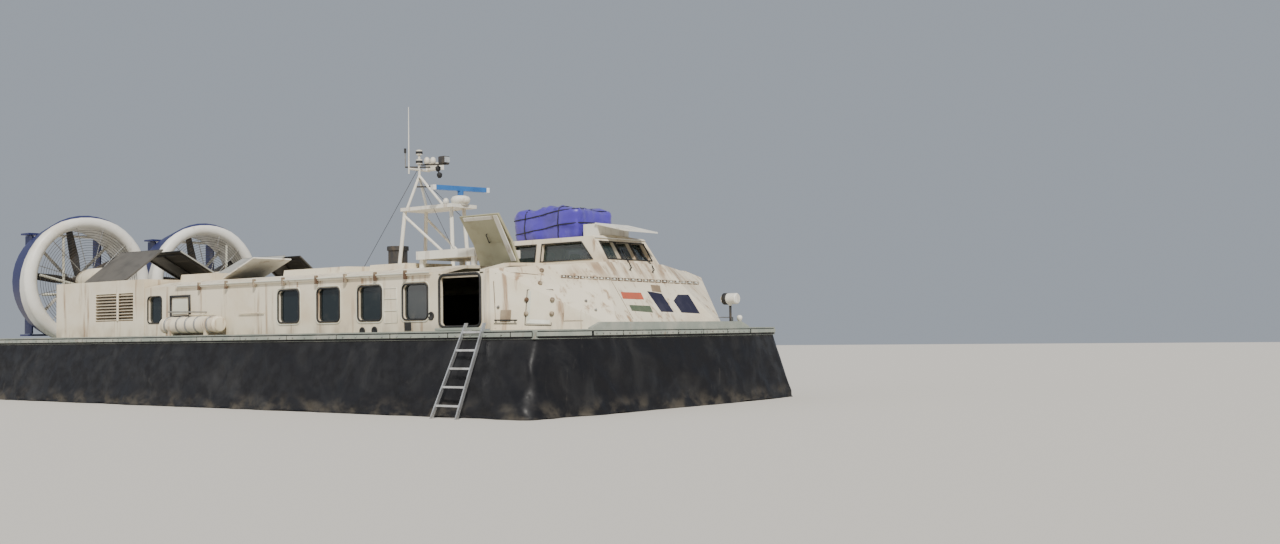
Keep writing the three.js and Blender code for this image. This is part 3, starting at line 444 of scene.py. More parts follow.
def dress_frame():
    """Gives every carried-over node its material, and the round ones a curved shading."""
    for part in frame["record"]["subparts"]:
        obj = bpy.data.objects[part["node"]]
        obj.data.materials.clear()
        obj.data.materials.append(SPECIAL.get(part["node"], LOOKS[part["material_slot"]])[0])
        if part["node"].startswith(ROUND_NODES):
            shade_round(obj.data)


dress_frame()


# Ways to make pieces
def put(name, data, look, body):
    """Puts a piece in the scene, with its material, on its body."""
    mat, slot = look
    obj = add(name, data)
    data.materials.append(mat)
    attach(obj, body)
    return obj


def mesh_piece(name, verts, faces, look, body="hull", smooth=False):
    mesh = bpy.data.meshes.new(name)
    mesh.from_pydata([tuple(v) for v in verts], [], faces)
    mesh.validate()
    mesh.update()
    if smooth:
        mesh.shade_smooth()
    return put(name, mesh, look, body)


def rods(name, lines, radius, look, body="hull", closed=False, rounding=2):
    """Round bars along polylines, all in one curve."""
    data = bpy.data.curves.new(name, "CURVE")
    data.dimensions = "3D"
    data.bevel_depth = radius
    data.bevel_resolution = rounding
    data.use_fill_caps = True
    for line in lines:
        spline = data.splines.new("POLY")
        spline.points.add(len(line) - 1)
        for point, co in zip(spline.points, line):
            point.co = (*co, 1)
        spline.use_cyclic_u = closed
    return put(name, data, look, body)


def soften(obj, width):
    mod = obj.modifiers.new("soft_edges", "BEVEL")
    mod.width = width
    mod.segments = 2
    mod.limit_method = "ANGLE"


BOX_FACES = [(0, 1, 3, 2), (4, 6, 7, 5), (0, 4, 5, 1), (2, 3, 7, 6), (0, 2, 6, 4), (1, 5, 7, 3)]


def boxes(name, spans, look, body="hull", bevel=0.008):
    """Boxes between pairs of opposite corners, with softened edges, all in one mesh."""
    verts = []
    faces = []
    for span in spans:
        start = len(verts)
        xs, ys, zs = (sorted(pair) for pair in zip(*span))
        verts += [(x, y, z) for x in xs for y in ys for z in zs]
        faces += [tuple(start + i for i in face) for face in BOX_FACES]
    obj = mesh_piece(name, verts, faces, look, body)
    soften(obj, bevel)
    return obj


def ring_faces(rows, sides, base=0):
    """Faces between closed rings of points, each ring after the one before."""
    faces = []
    for j in range(rows - 1):
        for i in range(sides):
            a, b = base + j * sides + i, base + j * sides + (i + 1) % sides
            faces.append((a, b, b + sides, a + sides))
    return faces


def plates(name, quads, thick, look, body="hull", bevel=0.003):
    """Thin plates that stand proud of a surface: each is its corners in order, seen from outside."""
    verts = []
    faces = []
    for quad in quads:
        pts = [Vector(p) for p in quad]
        normal = (pts[1] - pts[0]).cross(pts[-1] - pts[0]).normalized()
        start = len(verts)
        n = len(pts)
        verts += [p - normal * thick * 0.5 for p in pts] + [p + normal * thick for p in pts]
        faces.append(tuple(start + i for i in reversed(range(n))))
        faces.append(tuple(start + n + i for i in range(n)))
        faces += ring_faces(2, n, start)
    soften(mesh_piece(name, verts, faces, look, body), bevel)


def turned(name, profile, centres, axis, look, body="hull", sides=24):
    """Profile of (distance along the axis, radius), turned about the axis at each centre."""
    axis = Vector(axis).normalized()
    across = axis.orthogonal().normalized()
    third = axis.cross(across)
    rows = len(profile)
    verts = []
    faces = []
    for centre in centres:
        base = len(verts)
        for along, radius in profile:
            for i in range(sides):
                a = 2 * pi * i / sides
                ring = across * cos(a) + third * sin(a)
                verts.append(Vector(centre) + axis * along + ring * max(radius, 1e-4))
        faces += ring_faces(rows, sides, base)
        faces.append(tuple(base + i for i in reversed(range(sides))))
        faces.append(tuple(base + (rows - 1) * sides + i for i in range(sides)))
    mesh_piece(name, verts, faces, look, body, smooth=True)


def round_rect(u0, v0, u1, v1, r, steps=5):
    """Corners of a rounded rectangle, counterclockwise."""
    middles = ((u1 - r, v0 + r, -90), (u1 - r, v1 - r, 0), (u0 + r, v1 - r, 90), (u0 + r, v0 + r, 180))
    pts = []
    for cu, cv, start in middles:
        for i in range(steps + 1):
            a = radians(start + 90 * i / steps)
            pts.append((cu + r * cos(a), cv + r * sin(a)))
    return pts


def noise_at(x, y, z):
    return noise.noise(Vector((x, y, z)))


# Skirt: coated fabric hung from the deck edge, with folds, seams and a loose hem
CORNER_STEPS = 6


def smooth_path(path, count, radius):
    """Evenly spaced points on a level path whose corners are rounded off."""
    corners = [Vector((*p, 0)) for p in path]
    pts = [corners[0]]
    for before, corner, after in zip(corners, corners[1:], corners[2:]):
        cut = min(radius, (corner - before).length * 0.45, (after - corner).length * 0.45)
        start = corner + (before - corner).normalized() * cut
        end = corner + (after - corner).normalized() * cut
        for k in range(CORNER_STEPS + 1):
            share = k / CORNER_STEPS
            pts.append(start.lerp(corner, share).lerp(corner.lerp(end, share), share))
    pts.append(corners[-1])
    steps = [0]
    for a, b in zip(pts, pts[1:]):
        steps.append(steps[-1] + (b - a).length)
    out = []
    j = 0
    for i in range(count):
        want = steps[-1] * i / (count - 1)
        while j < len(steps) - 2 and steps[j + 1] < want:
            j += 1
        gap = max(steps[j + 1] - steps[j], 1e-9)
        out.append(pts[j].lerp(pts[j + 1], min(1, max(0, (want - steps[j]) / gap))))
    return out


# Section of the skirt as height and share of the way from the top line to the foot line
SKIRT_SECTION = [
    (1.552, -0.04), (1.5, -0.03), (1.43, -0.01), (1.41, 0), (1.3, 0.09), (1.15, 0.22), (1, 0.35),
    (0.83, 0.46), (0.66, 0.56), (0.48, 0.66), (0.34, 0.77), (0.22, 0.89), (0.14, 0.97), (0.07, 0.985),
    (0.025, 1), (0.012, 1.06),
]
ROW_STEP = 0.055
CLAMPED_OUT = 0.035
HANGING_OUT = 0.012
FOLDS_TOP_Z = 1.5
MOST_FOLD = 0.1
SEAM_RIDGE = 0.014
SEAM_WIDTH = 0.05
HEM_Z = 0.2
HEM_WAVE = 0.03
HEM_LOWEST = 0.008


def skirt_rows():
    """Height and share of every row of the sheet, from the top to the hem."""
    rows = []
    for (z0, s0), (z1, s1) in zip(SKIRT_SECTION, SKIRT_SECTION[1:]):
        steps = max(1, round((z0 - z1) / ROW_STEP))
        rows += [(z0 + (z1 - z0) * k / steps, s0 + (s1 - s0) * k / steps) for k in range(steps)]
    return rows + [SKIRT_SECTION[-1]]


def fold(p, low):
    """How far the fabric stands out at a point; low is 0 at the top and 1 at the foot."""
    u = p.x * 0.9 + p.y * 0.9
    slow = noise_at(p.x * 0.45, p.y * 0.45, p.z * 0.5)
    sag = noise_at(u * 0.9 + p.z * 1.5, p.z * 0.9, 4)
    fine = noise_at(p.x * 2.6, p.y * 2.6, p.z * 0.9 + 9)
    ridge = 1 - abs(noise_at(u * 1.6 + p.z * 1.1, p.z * 0.45, 2)) * 3
    grow = min(1, low * 1.8) * min(1, 0.45 + low)
    return grow * (0.035 * slow + 0.075 * sag + 0.026 * fine + 0.032 * max(ridge, -0.5))


def skirt_point(upper, lower, i, z, share, seams):
    """Point of the sheet at step i of its lines, at a height and a share of the way to the foot line."""
    run = (upper[min(i + 1, len(upper) - 1)] - upper[max(i - 1, 0)]).normalized()
    out = Vector((run.y, -run.x, 0))
    p = upper[i].lerp(lower[i], max(share, 0))
    p = Vector((p.x, p.y, z)) + out * (CLAMPED_OUT if share < 0 else HANGING_OUT)
    low = max((FOLDS_TOP_Z - z) / FOLDS_TOP_Z, 0)
    stands = fold(p, low)
    for seam in seams:
        away = (p - Vector((*seam, z))).to_2d().length
        stands += SEAM_RIDGE * exp(-((away / SEAM_WIDTH) ** 2)) * min(1, low * 3)
    p += out * min(stands, MOST_FOLD)
    if z < HEM_Z:
        wave = HEM_WAVE * noise_at(p.x * 1.7, p.y * 1.7, 5) * (HEM_Z - z) / HEM_Z
        p.z = max(HEM_LOWEST, p.z + wave)
    return p


def skirt_sheet(name, node, top, foot, count, seams):
    """One stretch of skirt between its top line and its foot line, as a sheet."""
    upper = smooth_path(top, count, 0.1)
    lower = smooth_path(foot, count, 0.35)
    rows = skirt_rows()
    verts = [skirt_point(upper, lower, i, z, share, seams) for z, share in rows for i in range(count)]
    starts = [j * count + i for j in range(len(rows) - 1) for i in range(count - 1)]
    faces = [(k, k + count, k + count + 1, k + 1) for k in starts]
    obj = mesh_piece(name, verts, faces, RUBBER, smooth=True)
    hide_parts(node)


SKIRT_FORE_X = 9.48
SKIRT_AFT_X = -9.951
TOP_HALF = 4.02
FOOT_HALF = 4.45
SIDE_SEAMS_X = (-8.6, -5.3, -2, 1.3, 4.6, 7.9)
SIDE_SEAMS_Y = 4.2
BOW_SEAMS = [(10.15, -2.8), (10.15, 0), (10.15, 2.8)]
STERN_SEAMS = [(-10.1, -1.5), (-10.1, 1.5)]


def end_path(side_x, corner_x, end_x, half, end_half):
    """Path round one end of the craft from starboard to port, with its corners cut off."""
    port = [(end_x, end_half), (corner_x, half), (side_x, half)]
    return [(x, -y) for x, y in reversed(port)] + port


def make_skirt():
    for side, s in SIDES:
        ends = (SKIRT_AFT_X, SKIRT_FORE_X) if s < 0 else (SKIRT_FORE_X, SKIRT_AFT_X)
        top = [(x, s * TOP_HALF) for x in ends]
        foot = [(x, s * FOOT_HALF) for x in ends]
        seams = [(x, s * SIDE_SEAMS_Y) for x in SIDE_SEAMS_X]
        skirt_sheet("skirt_cloth_" + side, "skirt_" + side, top, foot, 340, seams)
    top = end_path(SKIRT_FORE_X, 9.83, 10.03, TOP_HALF, 2.7)
    foot = end_path(SKIRT_FORE_X, 10.05, 10.25, FOOT_HALF, 2.75)
    skirt_sheet("skirt_cloth_bow", "skirt_bow", top, foot, 180, BOW_SEAMS)
    top = end_path(SKIRT_AFT_X, -9.965, -9.985, TOP_HALF, 2.7)[::-1]
    foot = end_path(SKIRT_AFT_X, -10.13, -10.25, FOOT_HALF, 2.75)[::-1]
    skirt_sheet("skirt_cloth_stern", "skirt_stern", top, foot, 160, STERN_SEAMS)


make_skirt()


# Places on the frame's own surfaces
@functools.cache
def tree_of(node):
    return BVHTree.FromObject(bpy.data.objects[node], bpy.context.evaluated_depsgraph_get())


def on_node(px, py, node, lift=0):
    """Point of a node's surface that shows at a place in the picture, lifted off it by a distance."""
    place, normal, _, _ = tree_of(node).ray_cast(EYE, ray_through(px, py).normalized())
    if place is None:
        raise ValueError(f"{node} doesn't show at {px}, {py}")
    return place + normal * lift


def traced(places, node, lift=0):
    return [on_node(px, py, node, lift) for px, py in places]


WALL_Y = 3.55


def upright(places, y=-WALL_Y):
    """Points at places in the picture, on the upright plane along the craft at y."""
    return [on_plane(px, py, (0, y, 0), (0, 1, 0)) for px, py in places]


def decals(name, outlines, node, look, thick=0.006, bevel=0.002, body="hull"):
    """Thin plates on a node, each by its corners in the picture, clockwise there."""
    plates(name, [traced(outline[::-1], node) for outline in outlines], thick, look, body, bevel)


# Nose: places in the picture of its bolted batten, markings, access panel, seams and fittings
NOSE = "nose_shell"
BATTEN_ENDS = ((560.5, 276.6), (699, 283.3))
BATTEN_HALF_PX = 1.5
BATTEN_FACE_HALF_PX = 0.7
RED_BAR_PX = [(620.7, 292.1), (640.8, 292.7), (644.1, 299.6), (623, 298.8)]
GREEN_BAR_PX = [(629.1, 304.9), (650, 305.9), (653.1, 312.6), (631.8, 310.8)]
NAVY_BANDS_PX = [
    [(646.9, 291.1), (661.7, 293.7), (673.7, 312.2), (661.2, 311.8)],
    [(677.6, 294.7), (688.3, 294.7), (700, 313.6), (681.6, 312.6), (673.5, 300.8)],
]
STEP_PATCH_PX = [(650.5, 284.8), (659.7, 285.6), (661.2, 292.6), (652.2, 291.2)]
PANEL_PX = [(528.5, 291), (551.4, 290.8), (549.8, 324.2), (526.2, 323.6)]
GASKET_PX = [(527.3, 289.9), (552.8, 289.7), (551.1, 325.5), (524.9, 324.9)]
LATCHES_PX = [(526.4, 300), (526, 314), (552.2, 300), (551.6, 314), (540, 283.5), (541.6, 270.8)]
SEAMS_PX = [
    [(541.5, 273), (540, 283)],
    [(563, 313), (563.4, 321), (583, 320.6)],
    [(495, 273.6), (516, 272.8), (538, 274.8)],
    [(493.5, 281), (494.5, 300), (495.5, 320)],
]
DIRT_LINE_PX = [(603, 266.5), (612, 282), (623, 301.5), (633, 319)]
NOSE_RAIL_PX = [(px, 320.6) for px in (494, 500, 505, 511, 517)]
NOSE_RAIL_FEET_PX = [(496, 320.6), (515, 320.6)]
NOSE_STEP_PX = [(500.6, 310.2), (511.2, 310), (510.6, 320.2), (500, 320.2)]
PAD_EYES_PX = [(585.8, 301.4), (595.6, 310.4), (498, 307.5)]

# Pieces of the batten, with their ends as shares of a step and of the whole line
BATTEN_PIECES = 22
BATTEN_SPAN = (0.06, 0.94)
BATTEN_FACE_INSET = 0.005

# Profiles of bolts, latches and pad eyes, and the ways they stand out
BOLT_PROFILE = [(0, 0.016), (0.008, 0.014), (0.012, 0.004)]
BATTEN_OUT = (0.8, -0.2, 0.6)
LATCH_PROFILE = [(0, 0.045), (0.03, 0.045), (0.05, 0.02)]
LATCH_OUT = (0.67, -0.53, 0.51)
EYE_PROFILE = [(0, 0.03), (0.02, 0.028), (0.05, 0.012)]
EYE_OUT = (0.7, -0.4, 0.6)
NOSE_RAIL_LIFT = 0.07


def batten_point(share, drop=0, lift=0):
    """Point of the batten line, by its share of the way from starboard to port, so many pixels down."""
    (ax, ay), (bx, by) = BATTEN_ENDS
    return on_node(ax + (bx - ax) * share, ay + (by - ay) * share + drop, NOSE, lift)


def batten_strip(a, b, half):
    """Corners of a strip along the batten line between two shares of the way."""
    return [batten_point(a, -half), batten_point(a, half), batten_point(b, half), batten_point(b, -half)]


def make_nose_batten():
    strips = []
    faces = []
    for k in range(BATTEN_PIECES):
        a, b = ((k + share) / BATTEN_PIECES for share in BATTEN_SPAN)
        strips.append(batten_strip(a, b, BATTEN_HALF_PX))
        faces.append(batten_strip(a + BATTEN_FACE_INSET, b - BATTEN_FACE_INSET, BATTEN_FACE_HALF_PX))
    plates("nose_batten", strips, 0.01, RUST)
    plates("nose_batten_faces", faces, 0.013, PALE)
    bolts = 2 * BATTEN_PIECES
    places = [batten_point((k + 0.5) / bolts, 0, 0.012) for k in range(bolts)]
    turned("nose_batten_bolts", BOLT_PROFILE, places, BATTEN_OUT, SEAL, sides=8)


def make_nose_markings():
    decals("nose_red_bar", [RED_BAR_PX], NOSE, RED, 0.004)
    decals("nose_green_bar", [GREEN_BAR_PX], NOSE, GREEN, 0.004)
    decals("nose_navy_bands", NAVY_BANDS_PX, NOSE, BLUE_BAND, 0.004)
    decals("nose_step_patch", [STEP_PATCH_PX], NOSE, BROWN)


def make_nose_panel():
    decals("nose_access_panel", [PANEL_PX], NOSE, PALE, 0.014, 0.006)
    rods("nose_panel_gasket", [traced(GASKET_PX, NOSE, 0.004)], 0.01, SEAL, closed=True)
    turned("nose_latches", LATCH_PROFILE, traced(LATCHES_PX, NOSE), LATCH_OUT, RUST, sides=10)
    rods("nose_seams", [traced(seam, NOSE, 0.002) for seam in SEAMS_PX], 0.007, RUST)
    rods("nose_dirt_line", [traced(DIRT_LINE_PX, NOSE, 0.001)], 0.006, BROWN)


def make_nose_fittings():
    feet = zip(traced(NOSE_RAIL_FEET_PX, NOSE), traced(NOSE_RAIL_FEET_PX, NOSE, NOSE_RAIL_LIFT))
    rods("nose_handrail", [traced(NOSE_RAIL_PX, NOSE, NOSE_RAIL_LIFT), *feet], 0.014, SEAL)
    decals("nose_step", [NOSE_STEP_PX], NOSE, BROWN_METAL, 0.05, 0.008)
    turned("nose_pad_eyes", EYE_PROFILE, traced(PAD_EYES_PX, NOSE), EYE_OUT, STEEL, sides=10)


make_nose_batten()
make_nose_markings()
make_nose_panel()
make_nose_fittings()


# Cabin sides: rubber seals in the windows, a pale rim round each, and the doorways' frames
CABIN_WINDOWS_X = (2.28, 3.6, 4.9, 6.24)
WINDOW_HALF = 0.36
WINDOW_Z = (1.82, 2.52)
RIM_OUT = 0.045
SMALL_WINDOW = (-3.09, 1.89, -2.51, 2.52)
DOORWAY = (6.93, 1.66, 8.04, 2.67)
SEAL_Y = 3.554


def windows(out=0):
    """Outlines of the cabin's windows, widened by so much on every side."""
    low, high = WINDOW_Z
    half = WINDOW_HALF + out
    return [(x - half, low - out, x + half, high + out) for x in CABIN_WINDOWS_X]


def make_cabin_trim():
    for side, s in SIDES:
        def rings(name, outlines, corner, radius, look):
            lines = [[(u, s * SEAL_Y, v) for u, v in round_rect(*outline, corner)] for outline in outlines]
            rods(name + side, lines, radius, look, closed=True)

        rings("window_seals_", windows(), 0.1, 0.019, RUBBER_SEAL)
        rings("window_rims_", windows(RIM_OUT), 0.13, 0.012, PALE)
        rings("small_window_seal_", [SMALL_WINDOW], 0.09, 0.018, RUBBER_SEAL)
        rings("doorway_seal_", [DOORWAY], 0.12, 0.026, RUBBER_SEAL)
        header = ((6.9, s * 3.5, 2.655), (8.12, s * 3.55, 2.7))
        boxes("doorway_header_" + side, [header], CREAM)
        step = ((6.88, s * 3.56, 1.585), (8.1, s * 3.64, 1.64))
        boxes("doorway_step_" + side, [step], DECK)


make_cabin_trim()


# Cabin sides: places in the picture of gutter brackets, vents, panels and rails
BRACKETS_PX = [(px, 280) for px in (199, 226, 254, 283, 316, 345, 375, 405)]
VENTS_PX = [(362.4, 331.2), (374.6, 330.6), (431.2, 316)]
SLOT_PX = [(404.8, 331), (411.4, 330.6), (411, 321.4), (404.5, 321.5)]
SIDE_PANEL_PX = [(384, 288.5), (396.6, 287.9), (397.4, 322.5), (384.8, 323.4)]
PANEL_RIBS_PX = [[(384.2, 299), (397, 298.6)], [(384.2, 311), (397, 310.6)]]
VENT_FRAME_PX = [(171, 296.8), (189.6, 296), (190, 316.2), (171.2, 317)]
VENT_PANEL_PX = [(173.2, 314.2), (188, 313.6), (187.6, 298.8), (173, 299.4)]
LOUVRE_POST_PX = (118, 300)
SIDE_RAIL_PX = [(px, 312) for px in (168, 176, 184, 192, 200)]

GUTTER_Y = 3.6
GUTTER_LINE = (-1.8, 6.7, 2.735)
VENT_PROFILE = [(0, 0.085), (0.012, 0.085), (0.02, 0.07), (0.012, 0.05), (0.006, 0.045)]
# Louvre: the span of its slats, and the height, pitch and count of the dark rods of painted shade in the
# gaps between them
LOUVRE_X = (-5.4, -3.74)
LOUVRE_LOW_Z = 1.978
LOUVRE_PITCH = 0.0756
LOUVRE_SHADE_LINES = 9
GRAB_RAILS_X = (-1.35, 0.55)
GRAB_RAIL_LENGTH = 0.9
GRAB_RAIL_Z = 2.05


def make_gutter():
    spans = []
    for x, _, _ in upright(BRACKETS_PX, -GUTTER_Y):
        spans += [((x - 0.03, s * GUTTER_Y - 0.03, 2.62), (x + 0.03, s * GUTTER_Y + 0.03, 2.8))
                  for _, s in SIDES]
    boxes("gutter_brackets", spans, RUST)
    aft, fore, z = GUTTER_LINE
    lines = [[(aft, s * 3.605, z), (fore, s * 3.605, z)] for _, s in SIDES]
    rods("gutter_line", lines, 0.014, PALE)


def make_side_panels():
    turned("side_vents", VENT_PROFILE, upright(VENTS_PX), (0, -1, 0), SEAL, sides=20)
    plates("side_slot", [upright(SLOT_PX, -WALL_Y - 0.002)], 0.012, SEAL)
    rods("side_panel_seam", [upright(SIDE_PANEL_PX, -WALL_Y - 0.003)], 0.009, PALE, closed=True)
    ribs = [upright(rib, -WALL_Y - 0.006) for rib in PANEL_RIBS_PX]
    rods("side_panel_ribs", ribs, 0.008, PALE)
    rods("vent_frame", [upright(VENT_FRAME_PX, -WALL_Y - 0.006)], 0.042, SEAL, closed=True)
    plates("vent_frame_panel", [upright(VENT_PANEL_PX, -WALL_Y - 0.006)], 0.012, PALE)


def make_louvre():
    x = upright([LOUVRE_POST_PX])[0].x
    boxes("louvre_post", [((x - 0.035, -3.575, 1.96), (x + 0.035, -3.545, 2.64))], CREAM)
    # Dark rods in the gaps between the slats: painted shade between them
    heights = [LOUVRE_LOW_Z + LOUVRE_PITCH * k for k in range(LOUVRE_SHADE_LINES)]
    lines = [[(x, s * 3.549, z) for x in LOUVRE_X] for z in heights for _, s in SIDES]
    rods("louvre_lines", lines, 0.012, BROWN_METAL, rounding=1)


def make_side_rails():
    rail = upright(SIDE_RAIL_PX, -3.72)
    feet = [[(p.x, -WALL_Y, p.z), p] for p in rail[::2]]
    rods("side_handrail", [rail, *feet], 0.016, STEEL_RAIL)
    rails = [[(x, s * 3.58, GRAB_RAIL_Z), (x + GRAB_RAIL_LENGTH, s * 3.58, GRAB_RAIL_Z)]
             for x in GRAB_RAILS_X for _, s in SIDES]
    rods("deck_grab_rails", rails, 0.013, CREAM)


make_gutter()
make_side_panels()
make_louvre()
make_side_rails()


# Wheelhouse: seals round its panes, wipers and a drip rail. Its walls lean in above the sill
SILL_Z = 2.87
WHEELHOUSE_RISE = 0.61
SCREEN_X = 8.96
SCREEN_LEAN = 0.38
SCREEN_OUT = (0.85, 0, 0.53)
FLANK_Y = 0.96
FLANK_LEAN = 0.1
PANE_LOW, PANE_HIGH = 3, 3.37
PANE_MIDDLES = (-0.5067, 0, 0.5067)
PANE_HALF = 0.235
# Aft edge, fore edge at the foot and fore edge at the top
FLANK_WINDOWS = ((7.24, 8.64, 8.29), (6.42, 7.06, 7.06))
# Pivot and tip of each wiper in the picture
WIPERS_PX = (((629.4, 270.2), (621.5, 249.5)), ((652, 272.4), (640.5, 252)))


def on_screen(y, z, lift):
    """Point of the windscreen, lifted off it by a distance."""
    x = SCREEN_X - (z - SILL_Z) * SCREEN_LEAN / WHEELHOUSE_RISE
    return (x + lift * SCREEN_OUT[0], y, z + lift * SCREEN_OUT[2])


def on_flank(x, z, s):
    """Point just off a side wall of the wheelhouse."""
    return (x, s * (FLANK_Y - (z - SILL_Z) * FLANK_LEAN / WHEELHOUSE_RISE + 0.008), z)


def pane(low, high, high_top):
    """Corners of a pane between two edges, the second of which may lean."""
    return ((low, PANE_LOW), (high, PANE_LOW), (high_top, PANE_HIGH), (low, PANE_HIGH))


def make_window_seals():
    panes = [[on_screen(u, z, 0.006) for u, z in pane(y - PANE_HALF, y + PANE_HALF, y + PANE_HALF)]
             for y in PANE_MIDDLES]
    rods("windscreen_seals", panes, 0.017, RUBBER_SEAL, closed=True)
    panes = [[on_flank(x, z, s) for x, z in pane(aft - 0.01, fore + 0.01, fore_top + 0.01)]
             for _, s in SIDES for aft, fore, fore_top in FLANK_WINDOWS]
    rods("wheelhouse_window_seals", panes, 0.017, RUBBER_SEAL, closed=True)


def make_wipers():
    before_screen = on_screen(0, PANE_LOW, 0.03)
    arms = []
    for (px, py), tip in WIPERS_PX:
        foot = on_node(px, py, NOSE)
        knee = on_plane(px - 0.6, py - 8, before_screen, SCREEN_OUT)
        arms.append([foot, foot + Vector((0.06, 0, 0.05)), knee, on_plane(*tip, before_screen, SCREEN_OUT)])
    rods("wiper_arms", arms, 0.013, SEAL)
    rail = [on_screen(y, 3.44, 0.02) for y in (-0.84, -0.4, 0, 0.4, 0.84)]
    rods("windscreen_drip_rail", [rail], 0.014, WHITE)


make_window_seals()
make_wipers()


# Pilots' seats: padded covers on a frame
SEAT_Y = 0.43
PAD_SQUARENESS = 5
PAD_CUTS = 10
PAD_CREASE = 0.012


def pillow(name, low, high, lean, fill):
    """Crowned pad between two corners, leaning aft by so much at its top."""
    mesh = bpy.data.meshes.new(name)
    made = bmesh.new()
    bmesh.ops.create_cube(made, size=2)
    bmesh.ops.subdivide_edges(made, edges=made.edges[:], cuts=PAD_CUTS, use_grid_fill=True)
    middle = (Vector(low) + Vector(high)) / 2
    half = (Vector(high) - Vector(low)) / 2
    for v in made.verts:
        reach = sum(abs(c) ** PAD_SQUARENESS for c in v.co) ** (1 / PAD_SQUARENESS)
        p = v.co / max(reach, 1e-6) * max(abs(c) for c in v.co)
        crease = PAD_CREASE * noise_at(p.x * 2.1, p.y * 2.1, p.z * 2.1 + fill * 10)
        p = p * (1 + crease)
        v.co = middle + Vector((p.x * half.x - lean * (p.z + 1) / 2, p.y * half.y, p.z * half.z))
    made.to_mesh(mesh)
    made.free()
    mesh.shade_smooth()
    obj = put(name, mesh, SEAT, "hull")


def make_seats():
    for side, s in SIDES:
        y = s * SEAT_Y
        column = ((7.17, y - 0.13, 0.802), (7.43, y + 0.13, 2.17))
        tray = ((7.06, y - 0.22, 2.14), (7.55, y + 0.22, 2.2))
        back = ((7.02, y - 0.2, 2.2), (7.07, y + 0.2, 2.6))
        stem = ((7, y - 0.05, 2.55), (7.04, y + 0.05, 3.05))
        obj = boxes("seat_frame_" + side, [column, tray, back, stem], SEAT_FRAME, bevel=0.02)
        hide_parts("pilot_seat_" + side)
        pillow("seat_pad_" + side, (7.05, y - 0.25, 2.2), (7.57, y + 0.25, 2.35), 0, 0.5)
        pillow("seat_back_" + side, (7.06, y - 0.25, 2.33), (7.18, y + 0.25, 3), 0.07, 0.6)
        pillow("seat_headrest_" + side, (6.98, y - 0.15, 3), (7.08, y + 0.15, 3.23), 0.02, 0.7)


make_seats()


# Tarpaulin drawn over the stores on the wheelhouse roof, with webbing straps
TARP_LOW = Vector((6.12, -0.67, 3.47))
TARP_HIGH = Vector((7.97, 0.67, 4.2))
TARP_MIDDLE = (TARP_LOW + TARP_HIGH) / 2
TARP_HALF = (TARP_HIGH - TARP_LOW) / 2
TARP_STEP = 0.06
STRAPS_X = (6.55, 7.5)
STRAPS_Z = (3.72, 4.02)
STRAP_MIDDLE_Z = 3.75
STRAP_TILT = 0.1
# Share of the height and scale of the outline, from the foot over the top
TARP_ROWS = [
    (0, 0.96), (0.06, 0.985), (0.14, 1), (0.24, 0.985), (0.34, 0.99), (0.44, 1), (0.54, 0.985),
    (0.64, 0.98), (0.74, 0.985), (0.83, 0.97), (0.9, 0.94), (0.95, 0.88), (0.98, 0.78), (0.995, 0.62),
    (1, 0.42), (1, 0.2), (1, 0.03),
]


def tarp_ring():
    """Outline of the tarpaulin from above, within one unit each way, in even steps."""
    corners = round_rect(-1, -1, 1, 1, 0.22, 4)
    ring = []
    for (ua, va), (ub, vb) in zip(corners, corners[1:] + corners[:1]):
        steps = max(1, round(hypot(ub - ua, vb - va) / TARP_STEP))
        ring += [(ua + (ub - ua) * k / steps, va + (vb - va) * k / steps) for k in range(steps)]
    return ring


def tarp_point(u, v, share, scale):
    """Point of the tarpaulin at a place of its outline, with drapes and creases."""
    p = Vector((u * TARP_HALF.x * scale, v * TARP_HALF.y * scale, 0))
    out = Vector((u / TARP_HALF.x, v / TARP_HALF.y, 0)).normalized()
    drape = noise_at(p.x * 2.6, p.y * 2.6, share * 1.3)
    crease = noise_at(p.x * 7 + share * 3, p.y * 7, share * 2.2 + 3)
    lump = 0.05 * drape + 0.035 * crease
    side = 1 if share < 0.95 else 0.35
    p = TARP_MIDDLE + p + out * (lump * side - 0.02)
    top = 0 if share < 0.85 else 1.4 * lump - 0.045 * abs(u)
    p.z = TARP_LOW.z + share * (TARP_HIGH.z - TARP_LOW.z) + top
    return p


def strap(tree, aims):
    """Line on a surface: each aim is a point inside it and the way out from there."""
    line = []
    for inside, way in aims:
        hit = tree.ray_cast(inside + way * 3, -way)[0]
        if hit is not None:
            line.append(hit + way * 0.006)
    return line


def tarp_straps(tree):
    """Straps across the tarpaulin, then straps round it."""
    across = [radians(-28 + 236 * k / 32) for k in range(33)]
    around = [2 * pi * k / 59 for k in range(60)]
    lines = []
    for x in STRAPS_X:
        inside = Vector((x, TARP_MIDDLE.y, STRAP_MIDDLE_Z))
        lines.append(strap(tree, [(inside, Vector((0, -cos(a), sin(a)))) for a in across]))
    for z in STRAPS_Z:
        aims = [(Vector((*TARP_MIDDLE.xy, z + STRAP_TILT * cos(a))),
                 Vector((cos(a), sin(a), 0))) for a in around]
        lines.append(strap(tree, aims))
    return lines


def make_tarp():
    ring = tarp_ring()
    verts = [tarp_point(u, v, share, scale) for share, scale in TARP_ROWS for u, v in ring]
    faces = ring_faces(len(TARP_ROWS), len(ring))
    obj = mesh_piece("tarp_cloth", verts, faces, TARP, smooth=True)
    tree = BVHTree.FromPolygons([tuple(v) for v in verts], faces)
    webbing = rods("tarp_straps", tarp_straps(tree), 0.013, RUBBER_SEAL, rounding=1)
    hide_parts("tarp_bundle")


make_tarp()


# Mast: places in the picture of lamps, domes, arms and poles, all on its middle plane
DOMES_PX = [(433, 164), (427, 164), (446, 205)]
LAMP_DOMES_PX = [(438, 166), (439.5, 172.5)]
ARMS_PX = [
    [(421.5, 165), (448.5, 164)], [(438, 164.5), (438.8, 174)],
    [(405.5, 167.2), (430, 167.2)], [(416.7, 186.8), (430, 186.8)],
]
LAMP_BOX_PX = (441, 164)
SHORT_POLE_PX = [(405.5, 167.2), (405.2, 152)]
POLE_TIP_PX = [(405.2, 153), (405.1, 148.5)]

